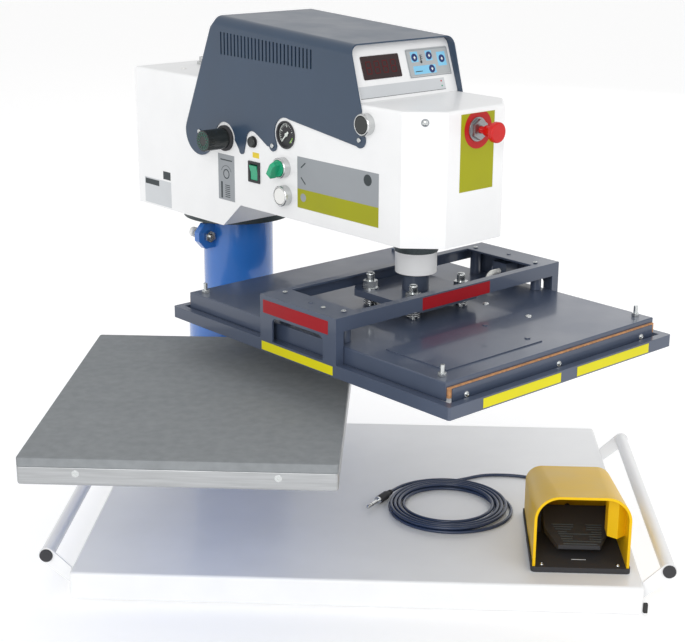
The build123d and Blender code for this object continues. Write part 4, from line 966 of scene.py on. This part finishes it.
@dataclass
class Pedal:
    """The foot pedal on the base."""

    plate_top: float = 51.3
    pin: Triple = (479.2, -336.0, 81.3)
    pin_radius: float = 2.7
    pin_length: float = 101.6
    spring_keep: float = 0.5
    toe: Pair = (-428.0, 71.3)
    rise: Pair = (96.0, 19.0)
    screws_at: Tuple[Pair, ...] = ((476.1, -448.6), (582.8, -447.5))
    screw: Profile = ((0.0, 0.8), (0.9, 0.8), (1.2, 1.5), (2.4, 1.2), (2.9, 0.0), (0.0, -0.2))
    # The plate's light bar is a painted highlight on a small ridge.
    plate_bar: Rect = ((519.4, -432.7), (539.8, -431.3))
    rib_half: float = 0.9
    recess: Rect = ((526.5, -399.0), (542.5, -379.0))
    rib_rows: Tuple[Tuple[float, Tuple[Pair, ...]], ...] = (
        (-380.0, ((495, 526), (544, 567))), (-385.5, ((497, 525), (544, 566))),
        (-391.0, ((499, 522), (543, 565))), (-397.3, ((502, 515), (550, 565))),
        (-402.0, ((503, 564),)), (-407.5, ((505, 523), (546, 563.5))),
        (-413.5, ((506, 522), (546, 563))), (-418.6, ((508, 562),)), (-424.6, ((508, 556),)))

    def build(self) -> None:
        """Dress the pedal's pieces and set its screws, ribs and painted highlight bars."""
        dressed("pedal_cover", YELLOW_GLOSS, "base", 1.2, segments=3)
        dressed("pedal_base", BLACK_PLASTIC, "base", 0.8)
        dressed("pedal_treadle", BLACK_PLASTIC, "treadle", 0.5)
        pin = Shape().rod(self.pin, (1, 0, 0), self.pin_radius, self.pin_length, 0.4)
        pin.build("pedal_pin_turned", TURNED_STEEL, "base", slot_of("pedal_pin"),
                  replaces=("pedal_pin",))
        spring = dressed("pedal_spring", SPRING_WIRE, "base", 0.0)
        pressed(spring, self.spring_keep)
        dressed("pedal_switch", BLACK_PLASTIC, "base", 1.0)
        dressed("pedal_gland", BLACK_RUBBER, "base", 0.5)
        self.screws()
        self.ribs()

    def screws(self) -> None:
        """Set the plate's two screws and the light bars, painted highlights of small ridges."""
        top = self.plate_top
        screws = Shape()
        for place in self.screws_at:
            screws.turned((*place, top), UP, self.screw)
        screws.build("pedal_screws", ZINC, "base", "zinc")
        # Both light bars are painted highlights on small ridges of the plate and the treadle.
        bar = laid((self.plate_bar,), top - 0.2, top + 0.5, 0.3)
        bar.build("plate_bar", STRIP_GREY, "base", "black_plastic")
        bar = Shape().box((520.7, -0.4, -5.9), (536.8, 0.2, -4.9), 0.2)
        bar.build("treadle_bar", STRIP_GREY, "treadle", "black_plastic", self.slope())

    def slope(self) -> Matrix:
        """Return the treadle's top: X across, Y up its slope, Z out of it."""
        lean = Matrix.Rotation(math.atan2(self.rise[1], self.rise[0]), 4, "X")
        return Matrix.Translation((0.0, *self.toe)) @ lean

    def along(self, y: float) -> float:
        """Return how far up the slope a place of the frame is."""
        return (y - self.toe[0]) * (math.hypot(*self.rise) / self.rise[0])

    def ribs(self) -> None:
        """Lay the ribs, lighter as painted highlights, in two halves round the dark recess."""
        ribs = Shape()
        for y, runs in self.rib_rows:
            low, high = self.along(y) - self.rib_half, self.along(y) + self.rib_half
            for left, right in runs:
                ribs.box((left, low, -0.3), (right, high, 1.1), 0.4)
        ribs.build("treadle_ribs", RIB_HIGHLIGHT, "treadle", "black_plastic", self.slope())
        (left, low), (right, high) = self.recess
        field = Shape().box((left, self.along(low), -0.2), (right, self.along(high), 0.35), 0.2)
        field.build("treadle_field", BLACK_RUBBER, "treadle", "black_plastic", self.slope())


@dataclass
class Arm:
    """The white arm with its inner frame, cylinder, rear fittings and bare plates."""

    top: float = 681.5
    stroke: float = 55.7
    coils_touch: float = 0.6
    nose_cut: Pair = (43.0, 42.8)
    nose_screw: Triple = (505.3, -76.5, 667.0)
    collar_foot: float = 466.0
    lid_places: Tuple[Pair, ...] = ((-56.0, -60.0), (-118.0, 76.0))
    dome_place: Pair = (-100.0, 52.0)
    pan: Profile = ((0.0, 1.1), (1.1, 1.1), (1.4, 2.0), (3.0, 1.7), (4.0, 0.9), (4.2, 0.0),
                    (0.0, -0.3))
    # A grey ring round the nose screw: painted shade of its recess.
    screw_shade: Profile = ((4.1, -0.1), (5.4, -0.1), (5.4, 0.35), (4.1, 0.35), (4.1, -0.1))
    collar: Profile = ((30.05, 0.0), (31.2, 0.0), (31.6, 0.5), (31.6, 20.0), (35.5, 20.5),
                       (35.5, 24.6), (30.05, 24.6), (30.05, 0.0))
    dome: Profile = ((0.0, 5.5), (4.0, 5.2), (8.0, 4.0), (10.0, 2.2), (10.6, 0.0), (0.0, -0.3))
    sunk: float = -0.05
    proud: float = 0.25
    mark_low: float = 0.2
    mark_high: float = 0.4
    ring_middle: Pair = (101.2, 253.0)
    bars: Tuple[Rect, ...] = (((87.0, 273.5), (116.0, 275.3)), ((87.5, 214.5), (91.5, 240.0)))
    rungs: int = 7
    rung: Rect = ((98.0, 217.0), (110.0, 218.2))
    rung_step: float = 3.0
    strokes: Tuple[Rect, ...] = (((278.0, 289.0), (288.0, 297.0)), ((278.0, 275.0), (288.0, 266.0)))

    def spring_keep(self) -> float:
        """Return the share of its length that the return spring keeps at the stroke's end."""
        low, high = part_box("return_spring")
        length = (high[2] - low[2]) / MM
        return (length - self.stroke - self.coils_touch) / length

    def build(self) -> None:
        """Dress the arm's pieces and add its screws, lid and plates."""
        dressed_all("arm", (
            ("arm_housing", WHITE_COAT, 1.0), ("swing_spindle", DARK_STEEL, 0.8),
            ("arm_beam", DARK_STEEL, 0.6), ("controller_board", BOARD_GREEN, 0.0),
            ("air_valve", MILLED, 0.8), ("air_fitting", NICKEL, 0.4),
            ("air_cylinder", MILLED, 0.8)))
        dressed("guide_tube", WHITE_COAT, "arm", 0.8, "guide_tube_white")
        spring = dressed("return_spring", SPRING_WIRE, "arm", 0.0)
        pressed(spring, self.spring_keep())
        self.screws()
        self.labels()

    def screws(self) -> None:
        """Set the screws in the sheet metal, the nose's collar and the low dome."""
        chamfer = math.atan2(*self.nose_cut)
        away = (math.sin(chamfer), -math.cos(chamfer), 0.0)
        screws = Shape().turned(self.nose_screw, away, self.pan)
        screws.build("nose_screw", ZINC, "arm", "white_coat", ARM)
        # Grey ring round the nose screw, painted shade of its recess.
        screw_shade = Shape().turned(self.nose_screw, away, self.screw_shade)
        screw_shade.build("nose_screw_seat", GREY_FOIL, "arm", "white_coat", ARM)
        collar = Shape().turned((REACH, 0.0, self.collar_foot), UP, self.collar, 64)
        collar.build("nose_collar", DARK_STEEL, "arm", "dark_steel", ARM)
        lid = Shape()
        for place in self.lid_places:
            lid.turned((*place, self.top), UP, self.pan)
        lid.build("lid_screws", WHITE_PLASTIC, "arm", "white_coat", ARM)
        dome = Shape().turned((*self.dome_place, self.top), UP, self.dome)
        dome.build("rear_dome", BLACK_PLASTIC, "arm", "black_plastic", ARM)

    @staticmethod
    def up(point: Pair) -> Pair:
        """Return a point that is given from the pad's top as one from the floor."""
        return point[0], PAD_TOP + point[1]

    def plate(self, name: str, finish: Finish, low: Pair, high: Pair, proud: float = 0.0) -> None:
        """Lay a thin bare plate on the arm's near side.

        Args:
            name: the piece's name.
            finish: its finish.
            low: its lowest corner, along the arm and up from the pad's top.
            high: its highest corner.
            proud: how far it stands out, by default as all plates do.
        """
        plate = laid(((self.up(low), self.up(high)),), self.sunk, proud or self.proud)
        plate.build(name, finish, "arm", "grey_panel", NEAR)

    def marks(self) -> None:
        """Draw the ring, bars and rungs of the plate below the regulator."""
        heights = (self.mark_low, self.mark_high)
        middle = self.up(self.ring_middle)
        marks = laid([(self.up(low), self.up(high)) for low, high in self.bars], *heights)
        (left, foot), (right, top) = self.rung
        for index in range(self.rungs):
            step = index * self.rung_step
            marks.box((left, PAD_TOP + foot + step, self.mark_low),
                      (right, PAD_TOP + top + step, self.mark_high))
        marks.arc_strip(middle, (6.0, 7.6), (0, 360), *heights)
        marks.arc_strip(middle, (12.5, 13.1), (20, 160), *heights)
        marks.build("marks_regulator", DARK_FOIL, "arm", "grey_panel", NEAR)

    def signs(self) -> None:
        """Draw the disc and two strokes of the grey plate, and the lime plate's disc."""
        heights = (self.mark_low, self.mark_high)
        signs = Shape().arc_strip(self.up((419.0, 292.6)), (0.01, 8.0), (0, 360), *heights)
        for base, tip in self.strokes:
            across = Vector((tip[1] - base[1], base[0] - tip[0])).normalized() * 0.9
            (x0, y0), (x1, y1) = self.up(base), self.up(tip)
            signs.prism([(x0 + across.x, y0 + across.y), (x1 + across.x, y1 + across.y),
                         (x1 - across.x, y1 - across.y), (x0 - across.x, y0 - across.y)],
                        *heights)
        signs.build("signs_near", DARK_FOIL, "arm", "grey_panel", NEAR)
        dot = Shape().arc_strip(self.up((283.0, 246.0)), (0.01, 6.0), (0, 360), *heights)
        dot.build("dot_near", GREY_FOIL, "arm", "grey_panel", NEAR)

    def labels(self) -> None:
        """Lay the bare plates on the arm's near side with their marks."""
        self.plate("label_regulator", GREY_FOIL, (81.0, 212.0), (121.4, 283.0))
        self.marks()
        self.plate("label_grey", GREY_FOIL, (270.0, 258.0), (441.0, 304.7))
        self.plate("label_lime", LIME_FOIL, (270.0, 230.0), (441.0, 258.0))
        self.signs()
        self.plate("tag_amber", AMBER_FOIL, (166.6, 288.0), (181.8, 296.0))
        self.plate("rating_plate", STRIP_GREY, (-121.0, 174.0), (-47.0, 216.0))
        self.plate("rating_band", DARK_FOIL, (-119.0, 205.0), (-80.0, 214.0), 0.35)
        self.plate("small_plate", DARK_FOIL, (-68.0, 219.0), (-48.0, 232.0))


@dataclass
class Hood:
    """The slate hood with its control panel."""

    strip: Rect = ((-88.5, 6.0), (75.5, 22.5))
    strip_line: Rect = ((-88.5, 5.6), (75.5, 6.2))
    frame_lines: Tuple[Rect, ...] = (
        ((11.2, 26.5), (92.4, 27.6)), ((11.2, 64.4), (92.4, 65.5)),
        ((11.2, 26.5), (12.2, 65.5)), ((91.4, 26.5), (92.4, 65.5)))
    key_fields: Tuple[Rect, ...] = (
        ((19.0, 48.0), (33.0, 63.0)), ((48.0, 48.5), (60.5, 63.0)),
        ((70.0, 39.5), (87.0, 59.5)), ((20.0, 30.5), (64.0, 42.5)))
    foil_low: float = 0.6
    key_places: Tuple[Pair, ...] = ((25.6, 54.6), (54.6, 55.6), (78.6, 49.6), (55.6, 36.6))
    key: Profile = ((0.0, 0.5), (5.0, 0.5), (5.6, 0.3), (5.7, 0.0), (0.0, -0.1))
    arrow: Tuple[Pair, ...] = ((-2.3, -0.6), (0.0, 2.2), (2.3, -0.6), (0.9, -0.6), (0.9, -2.2),
                               (-0.9, -2.2), (-0.9, -0.6))
    digits: int = 4
    digit_left: float = -68.0
    digit_step: float = 15.5
    segments: Tuple[Rect, ...] = (
        ((0.0, 38.0), (9.0, 39.6)), ((0.0, 46.3), (9.0, 47.9)), ((0.0, 54.6), (9.0, 56.2)),
        ((-0.6, 39.6), (1.0, 46.2)), ((-0.6, 48.0), (1.0, 54.4)), ((8.0, 39.6), (9.6, 46.2)),
        ((8.0, 48.0), (9.6, 54.4)))
    lamp: Profile = ((0.0, 0.7), (0.9, 0.6), (1.2, 0.0), (0.0, 0.0))

    def build(self) -> None:
        """Dress the hood and lay out the panel."""
        dressed("hood", SLATE_COAT, "arm", 0.5)
        dressed("control_panel", WHITE_COAT, "arm", 0.3)
        dressed_all("arm", (("display_window", DISPLAY, 0.4), ("hood_screws", ZINC, 0.3),
                            ("keypad", KEYPAD_GREY, 0.15)))
        strip = laid((self.strip,), -0.05, 0.25)
        strip.build("panel_strip", STRIP_GREY, "arm", "grey_panel", PANEL)
        line = laid((self.strip_line,), -0.02, 0.28)
        line.build("strip_line", DARK_FOIL, "arm", "grey_panel", PANEL)
        self.keypad()
        self.display()

    def keypad(self) -> None:
        """Lay the keypad's frame, fields, keys and marks."""
        lines = laid(self.frame_lines, self.foil_low, 0.92)
        lines.build("keypad_frame", GREY_FOIL, "arm", "keypad_foil", PANEL)
        fields = laid(self.key_fields, self.foil_low, 0.95, 0.15)
        fields.build("key_fields", KEY_BLUE, "arm", "keypad_foil", PANEL)
        keys, arrows = Shape(), Shape()
        for x, y in self.key_places:
            keys.turned((x, y, 0.9), UP, self.key)
            arrows.prism([(x + right, y + up) for right, up in self.arrow], 1.35, 1.6)
        keys.build("keys", KEY_NAVY, "arm", "keypad_foil", PANEL)
        arrows.build("key_marks", LIGHT_MARK, "arm", "keypad_foil", PANEL)
        glass = Shape().turned((37.6, 47.6, 0.8), UP, [(0.0, 0.3), (1.9, 0.3), (1.9, 0.0),
                                                       (0.0, 0.0)])
        glass.box((36.9, 47.6, 0.8), (38.3, 58.0, 1.1))
        for height in (52.0, 54.5, 57.0):
            glass.box((38.9, height, 0.8), (41.2, height + 0.7, 1.1))
        glass.box((23.0, 34.0, 0.9), (36.5, 35.2, 1.1))
        glass.build("thermometer_mark", DARK_FOIL, "arm", "keypad_foil", PANEL)

    def display(self) -> None:
        """Draw the unlit digits and set the two lamps."""
        lefts = [self.digit_left + index * self.digit_step for index in range(self.digits)]
        rects = [((x + x0, y0), (x + x1, y1)) for x in lefts
                 for (x0, y0), (x1, y1) in self.segments]
        digits = laid(rects, 0.9, 1.12)
        digits.build("display_digits", DISPLAY_DIGIT, "arm", "display_red", PANEL)
        for name, finish, slot, height in (("lamp_red", RED_GLOSS, "red_plastic", 18.0),
                                           ("lamp_green", GREEN_CLEAR, "green_clear", 11.0)):
            lamp = Shape().turned((69.0, height, 0.2), UP, self.lamp, 20)
            lamp.build(name, finish, "arm", slot, PANEL)


@dataclass
class Controls:
    """Knobs, switches, gauge and buttons."""

    collar_s: float = 168.8
    collar_reach: float = 4.0
    knob: Pair = (101.5, 596.1)
    knob_end: float = 43.1
    flutes: int = 14
    gauge: Pair = (244.9, 619.4)
    dial: float = -1.5
    dial_turn: Pair = (225.0, -45.0)
    dial_marks: int = 20
    stop_height: float = 653.5
    stop_radius: float = 26.5
    stop_s: float = 2.0
    stop_plate_size: Rect = ((-31.0, PAD_TOP + 283.0), (34.0, PAD_TOP + 388.0))
    stop_clip: Pair = (13.0, PAD_TOP + 387.8)

    def build(self) -> None:
        """Dress each control and add its marks."""
        dressed("regulator_body", BLACK_PLASTIC, "arm", 0.8, segments=3)
        dressed("regulator_knob", GLOSS_BLACK, "regulator", 0.6)
        dressed("gauge_case", BLACK_PLASTIC, "arm", 0.4)
        dressed("gauge_needle", LIGHT_MARK, "needle", 0.0)
        dressed("rocker_frame", BLACK_PLASTIC, "arm", 0.4)
        dressed("rocker_switch", GREEN_CLEAR, "rocker", 0.6)
        collar = self.is_collar
        dressed("control_bezels", NICKEL, "arm", 0.3, "bezels", lambda p: not collar(p))
        dressed("control_bezels", BLACK_PLASTIC, "arm", 0.3, "breaker_ring", collar)
        dressed("selector_knob", GREEN_CLEAR, "selector", 1.2, segments=3)
        dressed("test_button", WHITE_PLASTIC, "test_cap", 0.6)
        dressed("start_button_near", GLOSS_BLACK, "start_cap_near", 0.6)
        dressed("start_button_far", GLOSS_BLACK, "start_cap_far", 0.6)
        dressed("breaker_button", GLOSS_BLACK, "breaker_cap", 0.3)
        dressed("estop_base", GREY_STEEL, "arm", 0.5)
        dressed("estop_knob", RED_GLOSS, "stop_cap", 0.6, segments=3)
        self.gauge_face()
        self.stop_plate()
        self.regulator_end()

    def is_collar(self, middle: Vector) -> bool:
        """Say whether a bezel's middle is the reset cap's collar."""
        here = to_arm(middle)
        return abs(here.x - self.collar_s) < self.collar_reach and here.y < 0.0

    def regulator_end(self) -> None:
        """Dress the regulator knob's end with its fluted rim, coloured green as a painted sheen."""
        low = self.knob_end
        rim = Shape()
        for index in range(self.flutes):
            angle = math.tau * index / self.flutes
            rim.prism(spoke(self.knob, angle, (7.4, 11.6), 0.9), low, 43.9, 0.25)
        rim.arc_strip(self.knob, (12.6, 13.6), (0, 360), low, 43.7)
        rim.build("regulator_rim", GREEN_SHEEN, "regulator", "black_plastic", NEAR)

    def gauge_face(self) -> None:
        """Draw the dial's scale and its green band."""
        low = self.dial
        first, last = self.dial_turn
        step = (first - last) / self.dial_marks
        scale = Shape()
        for index in range(self.dial_marks + 1):
            inner, half = (11.0, 0.5) if index % 5 == 0 else (13.0, 0.25)
            angle = math.radians(first - index * step)
            scale.prism(spoke(self.gauge, angle, (inner, 15.6), half), low, -1.3)
        scale.arc_strip(self.gauge, (15.8, 16.3), (last, first), low, -1.3, 24)
        scale.build("gauge_scale", LIGHT_MARK, "arm", "needle_white", NEAR)
        band = Shape().arc_strip(self.gauge, (12.0, 13.4), (-60, -15), low, -1.25)
        band.build("gauge_band", GREEN_MARK, "arm", "needle_white", NEAR)

    def stop_plate(self) -> None:
        """Lay the lime plate and the red disc, cut off at the top, behind the stop button."""
        plate = laid((self.stop_plate_size,), -0.05, 0.25)
        plate.build("stop_plate", LIME_FOIL, "arm", "grey_panel", NOSE)
        half, top = self.stop_clip
        angles = [math.radians(index * 6.0) for index in range(60)]
        rim = [(self.stop_s + self.stop_radius * math.cos(a),
                min(top, self.stop_height + self.stop_radius * math.sin(a))) for a in angles]
        outline = [p for p, q in zip(rim, rim[1:] + rim[:1])
                   if p[1] < top or q[1] < top or abs(p[0]) > half]
        disc = Shape().prism(outline, 0.1, 0.7, 0.2)
        disc.build("stop_disc", STOP_RED, "arm", "red_plastic", NOSE)


@dataclass
class Heater:
    """The ram, the heater and its screws."""

    end_face: float = 270.0
    end_height: float = 364.0
    end_places: Triple = (-176.0, 0.0, 176.0)
    pan: Profile = ((0.0, 1.5), (1.0, 1.5), (1.4, 2.3), (2.9, 1.9), (3.7, 0.9), (3.9, 0.0),
                    (0.0, -0.2))
    access_top: float = 417.6
    access_places: Pair = (139.0, 216.0)
    access: Profile = ((0.0, 0.2), (1.4, 0.2), (1.8, 0.9), (3.4, 0.6), (4.2, -0.3), (4.2, -1.5),
                       (0.0, -1.5))

    def build(self) -> None:
        """Dress the ram's pieces."""
        dressed_all("ram", (
            ("piston_rod", SLATE_ROD, 0.5), ("cross_plate", HEATER_COAT, 0.8),
            ("spring_bolts", ZINC, 0.4), ("bolt_springs", SPRING_WIRE, 0.0),
            ("heater_cover", HEATER_COAT, 0.3), ("insulation_board", INSULATION, 0.3),
            ("platen", MILLED, 0.8), ("heating_element", TURNED_STEEL, 0.0),
            ("heater_studs", ZINC, 0.3), ("end_plates", HEATER_COAT, 0.3),
            ("heater_lead", BRAIDED, 0.0)))
        self.screws()

    def screws(self) -> None:
        """Set the pan heads of the end plates and the access plate."""
        heads = Shape()
        for side in (-1, 1):
            for t in self.end_places:
                heads.turned((side * self.end_face, t, self.end_height), (side, 0, 0), self.pan)
        for s in self.access_places:
            heads.turned((s, -2.0, self.access_top), UP, self.access)
        heads.build("cover_screws", ZINC, "ram", "zinc", RAM)


@dataclass
class Guard:
    """The safety frame round the heater with its coloured strips."""

    ring_fore: float = 286.7
    ring_half: float = 223.2
    ring_low: float = 344.2
    portal_top: float = 426.7
    rail_fore: float = 79.0
    rail_low: float = 405.5
    rail_high: float = 425.5
    thick: float = 0.3
    screw_places: Tuple[Pair, ...] = (
        (-60.6, -193.5), (30.3, -202.5), (60.6, -193.0), (-60.6, 190.0), (60.6, 190.0))
    screw: Profile = ((0.0, 0.5), (1.3, 0.5), (1.7, 1.2), (3.0, 0.8), (3.5, 0.0), (0.0, -0.2))

    def build(self) -> None:
        """Dress the frame, set its screws and lay its strips."""
        dressed("safety_frame", HEATER_COAT, "guard", 0.6)
        screws = Shape()
        for place in self.screw_places:
            screws.turned((*place, self.portal_top), UP, self.screw, 32)
        screws.build("portal_screws", ZINC, "guard", "zinc", RAM)
        fore, near, low = self.ring_fore, -self.ring_half, self.ring_low + 2.0
        yellow = Shape()
        for t0, t1 in ((-163.0, -15.0), (18.0, 172.0)):
            yellow.box((fore, t0, low), (fore + self.thick, t1, self.ring_low + 15.0))
        yellow.box((-76.0, near - self.thick, low), (73.0, near, self.ring_low + 14.5))
        yellow.build("yellow_strips", YELLOW_FOIL, "guard", "yellow_plastic", RAM)
        red = Shape().box((-72.0, near - self.thick, 400.5), (63.5, near, 419.0))
        red.box((self.rail_fore, -64.0, self.rail_low + 0.5),
                (self.rail_fore + self.thick, 71.0, self.rail_high - 2.0))
        red.build("red_strips", RED_FOIL, "guard", "red_plastic", RAM)


def main() -> None:
    """Build the scene, sub-assembly by sub-assembly."""
    logging.basicConfig(level=logging.INFO, format="%(message)s")
    for maker in (Studio(), PedalCord(), Base(), Column(), Table(), Pedal(), Arm(), Hood(),
                  Controls(), Heater(), Guard()):
        maker.build()
        LOG.info("built %s", type(maker).__name__)


if __name__ == "__main__":
    main()
